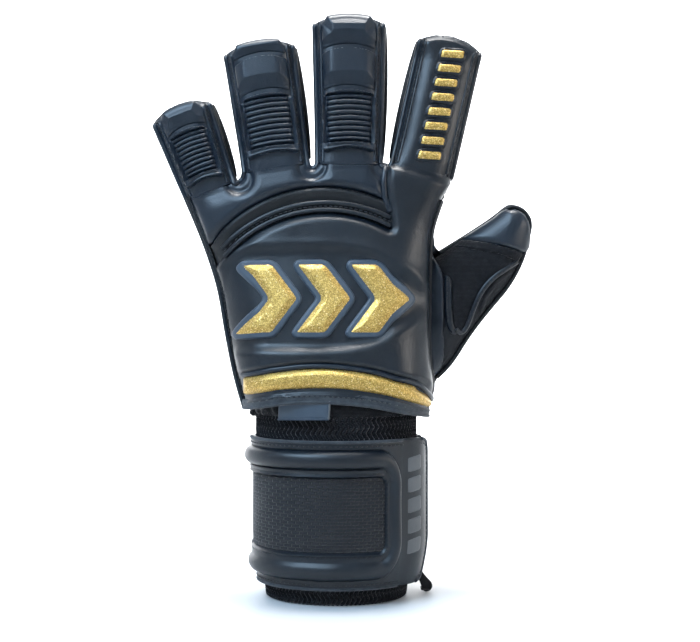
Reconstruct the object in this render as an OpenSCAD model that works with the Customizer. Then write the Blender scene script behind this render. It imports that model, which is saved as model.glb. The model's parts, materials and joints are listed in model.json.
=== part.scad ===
// Left goalkeeper glove, standing on its cuff rim with the fingers up.
// +X is the thumb side, -Y the back of the hand, +Y the palm and +Z up.
// The origin is at the centre of the base. All sizes are in millimetres.

/* [Cuff and strap] */
// Centre of the cuff across the hand
cuff_x = -3.5; // [-5:0.5:-2]
// Half width of the knit sleeve, outside
sleeve_rx = 36.5; // [35:0.5:37]
// Half depth of the knit sleeve, outside
sleeve_ry = 28.5; // [27:0.5:29]
// Thickness of the knit
knit_t = 2.5; // [2:0.5:3]
// Top of the knit sleeve
sleeve_top = 84; // [80:0.5:84]
// Height of the bound rim that the glove stands on
rim_h = 5; // [4:0.5:7]
// Lower edge of the strap
strap_low = 8; // [7:0.5:10]
// Upper edge of the strap
strap_high = 75; // [70:0.5:78]
// Thickness of the padded strap
strap_t = 3.5; // [3:0.1:4]
// Width of the strap's end tab
tab_w = 12; // [10:0.5:14]

/* [Hand] */
// Height at which the hand starts
wrist_z = 88; // [86:0.5:90]
// Height of the middle finger's base
knuckle_z = 201.5; // [195:0.5:205]
// Front of the back panel at the wrist
back_y_wrist = -32.5; // [-33:0.5:-32]
// Front of the back panel at the knuckles
back_y_knuckle = -15; // [-17:0.5:-14]
// Palm surface at the wrist
palm_y_wrist = 31; // [30.5:0.5:32]
// Palm surface at the knuckles
palm_y_knuckle = 13; // [12:0.5:14]
// Radius of the back of the hand, across it
back_radius = 200; // [170:5:240]
// Thickness of the moulded back panels
panel_t = 3; // [2:0.1:3.2]
// Thickness of the foam under them
foam_t = 2; // [1.5:0.1:2]
// Thickness of the latex palm
latex_t = 3.5; // [3:0.1:4]
// Thickness of side walls
wall_t = 2.5; // [2:0.1:3]

/* [Fingers] */
// Lean of the fingers towards the palm, in degrees
finger_lean = 4; // [2:0.5:6]
// Thickness of a finger's latex palm
finger_latex_t = 5; // [4:0.5:6]
// Radius of a finger's back, across it
finger_radius = 26; // [24:1:30]
// Radius of the fingertip corners
tip_round = 8; // [6:0.5:9]
// Height of the raised pads on the finger backs
pad_h = 2; // [1.5:0.1:2.5]
// Ribs in each flex pad
rib_count = 9; // [7:1:10]
// Width of the slot between two ribs
slot_w = 1; // [0.8:0.1:1.2]

/* [Thumb] */
// Back surface of the thumb
thumb_back_y = -3; // [-5:0.5:0]
// Palm surface of the thumb
thumb_palm_y = 23; // [22:0.5:24]
// Lower edge of the thumb's smooth hood
hood_z = 164; // [160:0.5:168]

/* [Hidden] */
$fn = 64;

blue_black = "#1c2731";
steel_blue = "#33475a";
dark_latex = "#17191b";
knit_black = "#0d0e10";
edge_grey = "#3a4147";
gold = "#c29a3f";
foam_grey = "#5b6166";

joint_gap = 0.4;    // room between two bodies at a joint
skin_gap = 0.05;    // room between two stacked layers
lining_t = 1.2;     // foam lining of the palm
hand_x = -7;        // centre of the hand's back, across it
face_far = 60;      // further out than any surface

// One finger: x and z of its base, tilt, length, base width, tip width, thickness
pinky = [-62, 189, -20.5, 45, 25.6, 30.2, 21.5];
ring = [-31.3, 199.7, -8.4, 62.5, 31.4, 34, 26];
middle = [2.5, knuckle_z, 0, 72.5, 31, 34.6, 28];
index = [36.3, 198.7, 13, 66.5, 30.6, 31, 24];

function base_x(f) = f[0];
function base_z(f) = f[1];
function tilt(f) = f[2];
function length(f) = f[3];
function base_w(f) = f[4];
function tip_w(f) = f[5];
function thick(f) = f[6];

// Points along an arc, from one angle to another
function arc(cx, cz, r, from, to, n = 6) =
    [for (i = [0:n]) let (a = from + (to - from) * i / n) [cx + r * cos(a), cz + r * sin(a)]];
function reversed(p) = [for (i = [len(p) - 1:-1:0]) p[i]];
function moved(p, dx) = [for (q = p) [q[0] + dx, q[1]]];

// Corner of a finger's base line, side -1 or 1, lowered by drop along the finger
function base_corner(f, side, drop = joint_gap) =
    [base_x(f) + side * base_w(f) / 2 * cos(tilt(f)) - drop * sin(tilt(f)),
     base_z(f) - side * base_w(f) / 2 * sin(tilt(f)) - drop * cos(tilt(f))];

// The hand's outline, seen from the back
little_side = [[-46, 88.5], [-50, 96], [-52.3, 108.5], [-56.5, 127], [-58.5, 142], [-61.6, 152.5],
               [-66.7, 166], base_corner(pinky, -1)];
thumb_side_low = [[44.5, 104], [44.5, 94], [39, 85.5]];
thumb_side_high = [base_corner(index, 1), [47, 185], [42, 171], [44.5, 162]];
finger_line = [base_corner(pinky, -1), base_corner(pinky, 1), base_corner(ring, -1), base_corner(ring, 1),
               base_corner(middle, -1), base_corner(middle, 1), base_corner(index, -1), base_corner(index, 1)];
hem_line = [[39, 85.5], [25, 88.7], [10, 91.5], [-10, 92.8], [-28, 91.8], [-46, 88.5]];
hem_h = 4.5;
hem_top = [for (p = hem_line) [p[0], p[1] + hem_h]];
hand_outline = concat(little_side, finger_line, thumb_side_high, thumb_side_low, hem_line);

// Circles whose arcs bound the flex crescent under the knuckles
crescent_low = [-8, 118, 61];
crescent_high = [-9, 124, 66.5];
crescent_end_x = 21;

module plate(points, near, far) {
    translate([0, far, 0]) rotate([90, 0, 0]) linear_extrude(far - near) polygon(points);
}

module round_plate(c, grow, near, far) {
    translate([c[0], far, c[1]]) rotate([90, 0, 0]) cylinder(r = c[2] + grow, h = far - near, $fn = 96);
}

// Elliptical column about the cuff's axis
module oval(rx, ry, low, high) {
    translate([cuff_x, 0, low]) linear_extrude(high - low)
        polygon([for (i = [0:59]) [rx * cos(i * 6), ry * sin(i * 6)]]);
}

module oval_ring(rx, ry, t, low, high) {
    difference() {
        oval(rx, ry, low, high);
        oval(rx - t, ry - t, low - 1, high + 1);
    }
}

// Everything behind the hand's back surface, sunk by depth
module behind_back(depth) {
    lean = atan((back_y_knuckle - back_y_wrist) / (knuckle_z - wrist_z));
    translate([hand_x, back_y_wrist, wrist_z]) rotate([-lean, 0, 0]) translate([0, back_radius, -face_far])
        cylinder(r = back_radius - depth, h = 4 * face_far, $fn = 128);
}

// Everything in front of the palm surface, sunk by depth
module before_palm(depth) {
    lean = atan((palm_y_wrist - palm_y_knuckle) / (knuckle_z - wrist_z));
    translate([hand_x, palm_y_wrist, wrist_z]) rotate([lean, 0, 0]) translate([-2 * face_far, -150 - depth, -face_far])
        cube([4 * face_far, 150, 4 * face_far]);
}

// A layer of the back of the hand over an outline, between two depths
module back_layer(points, from, to) {
    intersection() {
        plate(points, -face_far, 5);
        difference() {
            behind_back(from);
            behind_back(to);
        }
    }
}

module palm_layer(points, from, to) {
    intersection() {
        plate(points, -5, face_far);
        difference() {
            before_palm(from);
            before_palm(to);
        }
    }
}

// A wall between the back panel and the palm
module hand_wall(points) {
    intersection() {
        plate(points, -face_far, face_far);
        behind_back(panel_t);
        before_palm(latex_t);
    }
}

// ---- cuff ----

module cuff_rim() {
    color(knit_black) oval_ring(sleeve_rx + 0.6, sleeve_ry + 0.6, knit_t + 1.2, 0, rim_h);
}

module knit_sleeve() {
    color(knit_black) oval_ring(sleeve_rx, sleeve_ry, knit_t, rim_h, sleeve_top);
}

module wrist_fabric() {
    color("#15171a") oval_ring(sleeve_rx - 1.5, 25, 1.5, sleeve_top, sleeve_top + 8);
}

strap_rx = sleeve_rx + 5.5;
strap_ry = sleeve_ry + 5.5;
strap_end_y = -2;
patch_top = 66;
patch_low = 18;
tab_x = strap_rx + cuff_x - tab_w;
mesh_right = 19;
mesh_low = 22;
mesh_high = 57;
mesh_t = 1.2;

// The palm-side half of the strap, sewn to the sleeve
module strap_wrap() {
    color(blue_black) intersection() {
        oval_ring(strap_rx, strap_ry, strap_t + 1.95, strap_low + 9, strap_high);
        translate([-face_far, joint_gap, 0]) cube([2 * face_far, face_far, 100]);
    }
}

module loop_patch() {
    color("#202327") intersection() {
        oval_ring(sleeve_rx + 0.9, sleeve_ry + 0.9, 0.85, patch_low, patch_top);
        translate([5, -face_far, 0]) cube([face_far, face_far + strap_end_y, 100]);
    }
}

module strap_half(x_from, x_to) {
    intersection() {
        oval_ring(strap_rx, strap_ry, strap_t, strap_low, strap_high);
        translate([x_from, -face_far, 0]) cube([x_to - x_from, face_far + strap_end_y, 100]);
    }
}

module mesh_field(depth) {
    intersection() {
        oval_ring(strap_rx + 1, strap_ry + 1, depth + 1, mesh_low, mesh_high);
        translate([cuff_x - 38, -face_far, 0]) cube([mesh_right - cuff_x + 38, face_far - 6, 100]);
    }
}

module strap_body() {
    color(blue_black) difference() {
        intersection() {
            oval_ring(strap_rx, strap_ry, strap_t, strap_low, strap_high);
            translate([-face_far, -face_far, 0]) cube([face_far + tab_x, face_far - joint_gap, 100]);
        }
        mesh_field(mesh_t);
    }
}

module strap_mesh() {
    color(knit_black) intersection() {
        oval_ring(strap_rx, strap_ry, mesh_t, mesh_low, mesh_high);
        mesh_field(mesh_t);
    }
}

module strap_tab() {
    color(steel_blue) difference() {
        strap_half(tab_x, face_far);
        translate([tab_x, -face_far, strap_low - 1]) cube([face_far, face_far, 6]);
    }
}

module hook_patch() {
    color("#202327") intersection() {
        oval_ring(sleeve_rx + 1.95, sleeve_ry + 1.95, 0.7, patch_low, patch_top);
        translate([12, -face_far, 0]) cube([face_far, face_far + strap_end_y, 100]);
    }
}

tail_outline = concat([[34, 13.2], [36.6, 13.6], [40.2, 7.5]], arc(38.7, 3.8, 2.4, 20, -120, 5), [[35.2, 8]]);

module pull_tail() {
    color(knit_black) plate(tail_outline, 1, 8);
}

// ---- hand ----

// The hand's outline above the hem
panel_outline = concat([hem_top[len(hem_top) - 1]], [for (i = [1:len(little_side) - 1]) little_side[i]],
                       finger_line, thumb_side_high, [[44.5, 104], [44.5, 94]], hem_top);

// The main panel stops at the crescent, and runs up to the index finger on the thumb side
module back_panel() {
    color(blue_black) intersection() {
        back_layer(panel_outline, 0, panel_t);
        union() {
            round_plate(crescent_low, 0, -face_far, 10);
            translate([crescent_end_x, -face_far, 80]) cube([face_far, 70, 150]);
            translate([-face_far, -face_far, 80]) cube([2 * face_far, 70, 70]);
        }
    }
}

module above_low_arc() {
    difference() {
        translate([-2 * face_far, -face_far, 150]) cube([2 * face_far + crescent_end_x, 70, 60]);
        round_plate(crescent_low, 0, -face_far - 1, 11);
    }
}

module knuckle_crescent() {
    color(dark_latex) intersection() {
        back_layer(hand_outline, 0.8, panel_t);
        above_low_arc();
        round_plate(crescent_high, 0, -face_far, 10);
    }
}

module knuckle_band() {
    color(steel_blue) difference() {
        intersection() {
            back_layer(hand_outline, 0, panel_t);
            above_low_arc();
        }
        round_plate(crescent_high, 0, -face_far - 1, 11);
    }
}

// What lies between the side walls, from above the wrist to below the finger webs
module inside_walls() {
    wall_gap = wall_t + 0.1;
    intersection() {
        plate(concat(moved(little_side, wall_gap), moved(concat(thumb_side_high, thumb_side_low), -wall_gap)),
              -face_far, face_far);
        translate([-100, -face_far, sleeve_top + 12]) cube([200, 2 * face_far, 90]);
    }
}

module back_foam() {
    color(foam_grey) intersection() {
        back_layer(hand_outline, panel_t + skin_gap, panel_t + foam_t);
        inside_walls();
    }
}

module back_hem() {
    color(edge_grey) back_layer(concat(hem_line, reversed(hem_top)), 0, panel_t);
}

bar_low = [[-42, 96.2], [-28, 98.2], [-14, 99.2], [2, 98.6], [18, 96.2], [30, 92.6], [39, 88.5]];
bar_high = [[39.5, 91.5], [34, 96.5], [26, 101.2], [12, 105.6], [-4, 107.6], [-20, 107.6], [-42, 104.2]];

module gold_bar() {
    color(gold) back_layer(concat(bar_low, bar_high), -1.4, 0);
}

// Three slanted chevrons
module emblem() {
    color(gold) for (i = [0:2])
        back_layer(moved([[-46, 124], [-34, 124], [-24, 139], [-34, 154], [-46, 154], [-36, 139]], i * 24), -1.6, 0);
}

module label_tab() {
    color("#1a1a1c") back_layer([[-30, 84.5], [-6.5, 85.2], [-6, 93], [-29.5, 92.5]], -1.2, 0);
}

module palm_latex() {
    color(dark_latex) palm_layer(hand_outline, 0, latex_t);
}

module palm_lining() {
    color(foam_grey) intersection() {
        palm_layer(hand_outline, latex_t + skin_gap, latex_t + lining_t);
        inside_walls();
    }
}

module little_finger_side() {
    color(blue_black) hand_wall(concat(little_side, reversed(moved(little_side, wall_t))));
}

// Side under the thumb hole, side above it, and the strip of back panel side that joins them
module thumb_side() {
    color(steel_blue) {
        hand_wall(concat(thumb_side_low, reversed(moved(thumb_side_low, -wall_t))));
        hand_wall(concat(thumb_side_high, reversed(moved(thumb_side_high, -wall_t))));
        intersection() {
            hand_wall([[44.5, 161.8], [44.5, 104.2], [44.5 - wall_t, 104.2], [44.5 - wall_t, 161.8]]);
            translate([0, -face_far, 0]) cube([100, face_far + thumb_back_y - 0.5, 250]);
        }
    }
}

web_pairs = [[pinky, ring], [ring, middle], [middle, index]];
web_h = 5;

module finger_webs() {
    color(dark_latex) for (w = web_pairs) {
        left = base_corner(w[0], 1);
        right = base_corner(w[1], -1);
        hand_wall([left, right, [right[0], right[1] - web_h], [left[0], left[1] - web_h]]);
    }
}

// ---- fingers, each drawn with its hinge line along local x at its base ----

module in_finger(f) {
    translate([base_x(f), palm_y_knuckle, base_z(f)]) rotate([0, tilt(f), 0]) rotate([-finger_lean, 0, 0]) children();
}

function finger_outline(f, inset = 0) =
    let (h0 = base_w(f) / 2 - inset, h1 = tip_w(f) / 2 - inset, l = length(f) - inset, r = tip_round - inset)
    concat([[-h0, 0]], arc(r - h1, l - r, r, 180, 90), arc(h1 - r, l - r, r, 90, 0), [[h0, 0]]);

palm_skin = 0.2;    // the finger's palm surface stays this far inside the hinge line

module behind_finger(f, depth) {
    translate([0, finger_radius - thick(f), -20]) cylinder(r = finger_radius - depth, h = length(f) + 40);
}

module finger_layer(f, points, from, to) {
    intersection() {
        plate(points, -thick(f) - 5, 11 - thick(f));
        difference() {
            behind_finger(f, from);
            behind_finger(f, to);
        }
    }
}

module finger_back(f) {
    in_finger(f) finger_layer(f, finger_outline(f), 0, panel_t);
}

module finger_foam(f) {
    in_finger(f) finger_layer(f, finger_outline(f, wall_t + 0.1), panel_t + skin_gap, panel_t + foam_t);
}

module finger_palm(f) {
    in_finger(f) intersection() {
        plate(finger_outline(f), -finger_latex_t - palm_skin, -palm_skin);
        translate([0, -45 - palm_skin, -20]) cylinder(r = 45, h = length(f) + 40);
    }
}

// Two side walls and a tip wall, parted by narrow slits
module finger_gusset(f) {
    slit_z = length(f) - tip_round;
    in_finger(f) difference() {
        intersection() {
            plate(finger_outline(f), -thick(f), -finger_latex_t - palm_skin - skin_gap);
            behind_finger(f, panel_t + skin_gap);
        }
        plate(finger_outline(f, wall_t), -face_far, face_far);
        translate([-face_far, -face_far, slit_z]) cube([2 * face_far, 2 * face_far, 0.2]);
        translate([-face_far, -face_far, -face_far]) cube([2 * face_far, 2 * face_far, face_far + joint_gap]);
    }
}

pad_side = 3.5;     // bare edge beside a pad

function half_at(f, z) = (base_w(f) + (tip_w(f) - base_w(f)) * z / length(f)) / 2;
function pad_outline(f, low, high) =
    [[pad_side - half_at(f, low), low], [pad_side - half_at(f, high), high],
     [half_at(f, high) - pad_side, high], [half_at(f, low) - pad_side, low]];

module finger_pad(f, low, high) {
    in_finger(f) finger_layer(f, pad_outline(f, low, high), -pad_h, -skin_gap);
}

module flex_pad(f, low, high) {
    pitch = (high - low - 4) / rib_count;
    difference() {
        finger_pad(f, low, high);
        in_finger(f) for (i = [0:rib_count])
            translate([-half_at(f, low) + pad_side + 3, -thick(f) - 10, low + 2 + i * pitch - slot_w / 2])
                cube([base_w(f) - 2 * pad_side - 6, 15, slot_w]);
    }
}

module pinky_back() { color(blue_black) finger_back(pinky); }
module pinky_foam() { color(foam_grey) finger_foam(pinky); }
module pinky_palm() { color(dark_latex) finger_palm(pinky); }
module pinky_gusset() { color(dark_latex) finger_gusset(pinky); }
module pinky_flex_pad() { color(steel_blue) flex_pad(pinky, 7, 30); }
module pinky_tip_pad() { color(steel_blue) finger_pad(pinky, 32, 42); }

module ring_back() { color(blue_black) finger_back(ring); }
module ring_foam() { color(foam_grey) finger_foam(ring); }
module ring_palm() { color(dark_latex) finger_palm(ring); }
module ring_gusset() { color(dark_latex) finger_gusset(ring); }
module ring_flex_pad() { color(steel_blue) flex_pad(ring, 6, 34); }
module ring_mid_pad() { color(steel_blue) finger_pad(ring, 37, 50); }
module ring_tip_pad() { color(steel_blue) finger_pad(ring, 53, 59); }

module middle_back() { color(blue_black) finger_back(middle); }
module middle_foam() { color(foam_grey) finger_foam(middle); }
module middle_palm() { color(dark_latex) finger_palm(middle); }
module middle_gusset() { color(dark_latex) finger_gusset(middle); }
module middle_flex_pad() { color(steel_blue) flex_pad(middle, 6, 33); }
module middle_mid_pad() { color(steel_blue) finger_pad(middle, 36, 51); }
module middle_tip_pad() { color(steel_blue) finger_pad(middle, 54, 68); }

module index_back() { color(blue_black) finger_back(index); }
module index_foam() { color(foam_grey) finger_foam(index); }
module index_palm() { color(dark_latex) finger_palm(index); }
module index_gusset() { color(blue_black) finger_gusset(index); }

dash_count = 8;
dash_w = 11;
dash_h = 4.6;
dash_pitch = 7;

// A row of plain raised dashes
module index_relief() {
    color(gold) in_finger(index) for (i = [0:dash_count - 1])
        finger_layer(index, [[-4, 4 + i * dash_pitch], [-4, 4 + i * dash_pitch + dash_h],
                             [dash_w - 4, 6 + i * dash_pitch + dash_h], [dash_w - 4, 6 + i * dash_pitch]], -1, -skin_gap);
}

// ---- thumb ----

thumb_x = 45.3;     // the thumb starts here
thumb_tip = [79.9, 174.5, 10.2];
thumb_upper = [[thumb_x, 162.3], [55.5, 168.5], [71, 178.5]];
thumb_lower = [[87, 159], [80, 145.5], [70, 134], [61, 122.5], [52, 108], [thumb_x, 101.5]];
thumb_outline = concat(thumb_upper, thumb_arc(0, 100, -10), thumb_lower);

function thumb_arc(inset, from, to) = arc(thumb_tip[0], thumb_tip[1], thumb_tip[2] - inset, from, to);

module thumb_region(low, high) {
    translate([0, -face_far, low]) cube([150, 2 * face_far, high - low]);
}

module thumb_mesh() {
    color(knit_black) intersection() {
        plate(thumb_outline, thumb_back_y, thumb_back_y + wall_t);
        thumb_region(80, hood_z);
    }
}

module thumb_hood() {
    color(steel_blue) intersection() {
        plate(thumb_outline, thumb_back_y - 1, thumb_back_y + wall_t);
        thumb_region(hood_z + skin_gap, 250);
    }
}

module thumb_palm() {
    color(dark_latex) plate(thumb_outline, thumb_palm_y - finger_latex_t, thumb_palm_y);
}

// Walls along the upper edge, the tip and the lower edge
module thumb_gusset() {
    color(dark_latex) {
        thumb_wall(concat(thumb_upper, [for (p = reversed(thumb_upper)) [p[0], p[1] - 1.2 * wall_t]]));
        thumb_wall(concat(thumb_arc(0, 95, -5), thumb_arc(wall_t, -5, 95)));
        thumb_wall(concat(thumb_lower, [for (p = reversed(thumb_lower)) [p[0] - 0.5, p[1] + 1.6 * wall_t]]));
    }
}

module thumb_wall(points) {
    plate(points, thumb_back_y + wall_t + skin_gap, thumb_palm_y - finger_latex_t - skin_gap);
}

cuff_rim();
knit_sleeve();
wrist_fabric();
strap_wrap();
loop_patch();
strap_body();
strap_mesh();
strap_tab();
hook_patch();
pull_tail();
back_panel();
knuckle_crescent();
knuckle_band();
back_foam();
back_hem();
gold_bar();
emblem();
label_tab();
palm_latex();
palm_lining();
little_finger_side();
thumb_side();
finger_webs();
pinky_back();
pinky_foam();
pinky_palm();
pinky_gusset();
pinky_flex_pad();
pinky_tip_pad();
ring_back();
ring_foam();
ring_palm();
ring_gusset();
ring_flex_pad();
ring_mid_pad();
ring_tip_pad();
middle_back();
middle_foam();
middle_palm();
middle_gusset();
middle_flex_pad();
middle_mid_pad();
middle_tip_pad();
index_back();
index_foam();
index_palm();
index_gusset();
index_relief();
thumb_mesh();
thumb_hood();
thumb_palm();
thumb_gusset();
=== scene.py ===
"""Looks of the goalkeeper glove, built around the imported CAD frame.
Plans are in millimetres in the row frame (x, z), or (along, z) round the cuff. Meshes are in metres."""
import json
import math

import bmesh
import bpy
import numpy as np
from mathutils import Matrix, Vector


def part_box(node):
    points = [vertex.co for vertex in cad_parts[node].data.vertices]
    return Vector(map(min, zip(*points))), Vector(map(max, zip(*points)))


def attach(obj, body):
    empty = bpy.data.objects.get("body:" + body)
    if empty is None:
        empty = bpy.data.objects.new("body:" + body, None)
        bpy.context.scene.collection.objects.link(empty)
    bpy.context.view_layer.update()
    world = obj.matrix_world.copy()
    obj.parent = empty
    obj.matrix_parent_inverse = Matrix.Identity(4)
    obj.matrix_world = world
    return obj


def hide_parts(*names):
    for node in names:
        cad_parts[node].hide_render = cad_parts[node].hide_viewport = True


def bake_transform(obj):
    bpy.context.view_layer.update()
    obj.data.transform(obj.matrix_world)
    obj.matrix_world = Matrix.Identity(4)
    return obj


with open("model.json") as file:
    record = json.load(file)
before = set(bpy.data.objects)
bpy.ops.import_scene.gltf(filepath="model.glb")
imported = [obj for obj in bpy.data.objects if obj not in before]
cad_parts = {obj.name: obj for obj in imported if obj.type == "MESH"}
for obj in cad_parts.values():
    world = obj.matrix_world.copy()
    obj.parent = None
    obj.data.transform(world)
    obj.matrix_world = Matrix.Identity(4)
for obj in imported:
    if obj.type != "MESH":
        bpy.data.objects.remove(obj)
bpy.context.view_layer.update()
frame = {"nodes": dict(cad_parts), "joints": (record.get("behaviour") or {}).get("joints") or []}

MM = 0.001
FRONT, PALM = -1, 1          # side of the seam plane, as a sign of y


# ---- plans: outlines, lines and grids in two dimensions ----

def arc(cx, cz, r, start, end, n=8):
    angles = np.radians(np.linspace(start, end, n + 1))
    return [(cx + r * math.cos(a), cz + r * math.sin(a)) for a in angles]


def smoothstep(t):
    t = np.clip(t, 0, 1)
    return t * t * (3 - 2 * t)


def soften(points, rounds=3, closed=True):
    """Cuts the corners of an outline, again and again."""
    p = np.asarray(points, float)
    for _ in range(rounds):
        a, b = (p, np.roll(p, -1, 0)) if closed else (p[:-1], p[1:])
        cut = np.stack([0.75 * a + 0.25 * b, 0.25 * a + 0.75 * b], 1).reshape(-1, p.shape[1])
        p = cut if closed else np.vstack([p[:1], cut[1:-1], p[-1:]])
    return p


def resample(points, step, closed=True):
    """Points at an even spacing along a line."""
    p = np.asarray(points, float)
    if closed:
        p = np.vstack([p, p[:1]])
    p = p[np.r_[True, np.linalg.norm(np.diff(p, axis=0), axis=1) > 1e-9]]
    along = np.r_[0, np.cumsum(np.linalg.norm(np.diff(p, axis=0), axis=1))]
    count = max(2, int(round(along[-1] / step)))
    s = np.linspace(0, along[-1], count + 1)
    out = np.stack([np.interp(s, along, p[:, i]) for i in range(p.shape[1])], 1)
    return out[:-1] if closed else out


def nearest(p, line, closed=True):
    """Distance to a line, and the nearest point on it."""
    a = line if closed else line[:-1]
    ab = (np.roll(line, -1, 0) if closed else line[1:]) - a
    size = (ab ** 2).sum(1) + 1e-12
    distance, point = np.zeros(len(p)), np.zeros_like(p)
    for s in range(0, len(p), 3000):
        c = p[s:s + 3000]
        t = np.clip((c @ ab.T - (a * ab).sum(1)) / size, 0, 1)
        qx = a[:, 0] + t * ab[:, 0] - c[:, :1]
        qz = a[:, 1] + t * ab[:, 1] - c[:, 1:]
        square = qx * qx + qz * qz
        i = square.argmin(1)
        rows = np.arange(len(c))
        distance[s:s + 3000] = np.sqrt(square[rows, i])
        point[s:s + 3000] = c + np.stack([qx[rows, i], qz[rows, i]], 1)
    return distance, point


def inside(p, outline):
    found = np.zeros(len(p), bool)
    for (ax, az), (bx, bz) in zip(outline, np.roll(outline, -1, 0)):
        if az == bz:
            continue
        crosses = (az > p[:, 1]) != (bz > p[:, 1])
        found ^= crosses & (p[:, 0] < (bx - ax) * (p[:, 1] - az) / (bz - az) + ax)
    return found


def grid(outline, step):
    """Quads that fill an outline, their border drawn onto it: points, quads and the border's edges."""
    low = outline.min(0) - step
    n = np.ceil((outline.max(0) - low) / step).astype(int) + 2
    lines = [low[i] + step * np.arange(n[i]) for i in (0, 1)]
    p = np.stack(np.meshgrid(*lines, indexing="ij"), -1).reshape(-1, 2)
    keep = inside(p, outline)
    rows = np.flatnonzero(keep)
    keep[rows[nearest(p[rows], outline)[0] < 0.35 * step]] = False
    keep = keep.reshape(n)
    cell = keep[:-1, :-1] & keep[1:, :-1] & keep[1:, 1:] & keep[:-1, 1:]
    index = np.arange(n[0] * n[1]).reshape(n)
    quads = np.stack([index[:-1, :-1], index[1:, :-1], index[1:, 1:], index[:-1, 1:]], -1)[cell]
    used = np.unique(quads)
    again = np.zeros(len(p), int)
    again[used] = np.arange(len(used))
    p, quads = p[used], again[quads]
    edges = np.stack([quads, np.roll(quads, -1, 1)], -1).reshape(-1, 2)
    key = edges.min(1) * len(p) + edges.max(1)
    _, place, count = np.unique(key, return_inverse=True, return_counts=True)
    border = edges[count[place] == 1]
    rim = np.unique(border)
    p[rim] = nearest(p[rim], outline)[1]
    for _ in range(3):
        total, degree = np.zeros_like(p), np.zeros(len(p))
        np.add.at(total, edges[:, 0], p[edges[:, 1]])
        np.add.at(total, edges[:, 1], p[edges[:, 0]])
        np.add.at(degree, edges.ravel(), 1)
        even = total / degree[:, None]
        even[rim] = p[rim]
        p = even
    return p, quads, border


# ---- parts: arrays of points and faces that become a mesh ----

def unit(v):
    """Directions of length one."""
    return v / (np.linalg.norm(v, axis=1)[:, None] + 1e-12)


def quad_normals(v, quads):
    a, b, c, d = (v[quads[:, k]] for k in range(4))
    n = np.cross(c - a, d - b)
    out = np.zeros_like(v)
    for k in range(4):
        np.add.at(out, quads[:, k], n)
    return unit(out)


def panel(outline, form, relief=0.0, step=0.7, skin=1.2, edge=1.0, flip=False, material=0, flush=()):
    """A closed skin over an outline, on a form. relief is its height over the form, or a function of
    (points, distance to the outline). The outer face rolls down at the outline over the width edge,
    but not along the flush lines, where the next piece carries on."""
    outline = resample(outline, 0.5 * step)
    p, quads, border = grid(outline, step)
    d = nearest(p, outline)[0]
    base = form(p)
    n = quad_normals(base, quads) * (-1 if flip else 1)
    high = relief(p, d) if callable(relief) else np.full(len(p), float(relief))
    roll = edge * (np.sqrt(1 - (1 - np.clip(d / edge, 0, 1)) ** 2) - 1)
    for line in flush:
        roll = roll * smoothstep(nearest(p, np.asarray(line, float), closed=False)[0] / 2)
    count = len(p)
    verts = np.vstack([base + n * (high + roll)[:, None], base - n * skin])
    rim = np.stack([border[:, 1], border[:, 0], border[:, 0] + count, border[:, 1] + count], 1)
    faces = np.vstack([quads, quads[:, ::-1] + count, rim])
    if flip:
        faces = faces[:, ::-1]
    return verts, faces, material


def sweep(path, section, ups, material=0, sizes=None):
    """A section of (across, up) points carried along a path whose up directions are given.
    sizes scales the section at each point."""
    path, ups = np.asarray(path, float), np.asarray(ups, float)
    ahead = unit(np.gradient(path, axis=0))
    across = unit(np.cross(ahead, ups))
    up = np.cross(across, ahead)
    section = np.asarray(section, float)
    size = np.ones((len(path), 1, 1)) if sizes is None else np.reshape(sizes, (-1, 1, 1))
    at = across[:, None] * section[None, :, :1] + up[:, None] * section[None, :, 1:]
    rings = path[:, None] + size * at
    n, m = len(path), len(section)
    index = np.arange(n * m).reshape(n, m)
    now, after = index[:-1], index[1:]
    quads = np.stack([now, np.roll(now, -1, 1), np.roll(after, -1, 1), after], -1).reshape(-1, 4)
    return rings.reshape(-1, 3), [quads, ("cap", index[0][::-1]), ("cap", index[-1])], material


def round_section(width, height, n=10):
    turns = np.linspace(0, 2 * math.pi, n + 1)[:-1]
    return [(0.5 * width * math.cos(a), 0.5 * height * math.sin(a)) for a in turns]


def up_on(form, line, flip=False):
    """Outward directions of a form along a line of the plan."""
    h = 0.4
    dx = form(line + [h, 0]) - form(line - [h, 0])
    dz = form(line + [0, h]) - form(line - [0, h])
    return unit(np.cross(dx, dz) * (-1 if flip else 1))


def bead(line, form, lift, width, height, flip=False, material=0):
    """Piping or a welt laid along a line of the plan."""
    line = resample(line, 1.0, False)
    up = up_on(form, line, flip)
    return sweep(form(line) + up * lift, round_section(width, height), up, material)


def stitch_rows(centre, ahead, up, lift, length, thick, material):
    """Threads of five rings each, their ends sunk, at given places and directions."""
    across = unit(np.cross(ahead, up))
    sides = 6
    stations = ((-0.5, -0.25, 0.55), (-0.3, 0.1, 1), (0, 0.25, 1.1), (0.3, 0.1, 1), (0.5, -0.25, 0.55))
    verts = []
    for at, high, size in stations:
        for k in range(sides):
            a = 2 * math.pi * k / sides
            out = across * math.cos(a) + up * math.sin(a)
            axis = centre + up * (lift + high * thick) + ahead * at * length
            verts.append(axis + out * size * thick / 2)
    verts = np.stack(verts, 1)
    last = (len(stations) - 1) * sides
    faces = [(r + k, r + (k + 1) % sides, r + sides + (k + 1) % sides, r + sides + k)
             for r in range(0, last, sides) for k in range(sides)]
    base = np.arange(len(centre)) * len(stations) * sides
    quads = (np.array(faces)[None] + base[:, None, None]).reshape(-1, 4)
    around = np.arange(sides)
    caps = [("cap", b + around[::-1]) for b in base] + [("cap", b + last + around) for b in base]
    return verts.reshape(-1, 3), [quads, *caps], material


def stitches(line, form, lift, pitch=2.3, length=1.6, thick=0.5, material=2):
    """Thread lying in short stitches along a line of the plan."""
    line = resample(line, pitch, False)
    centre = form(line)
    ahead = unit(np.gradient(centre, axis=0))
    return stitch_rows(centre, ahead, up_on(form, line), lift, length, thick, material)


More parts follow.
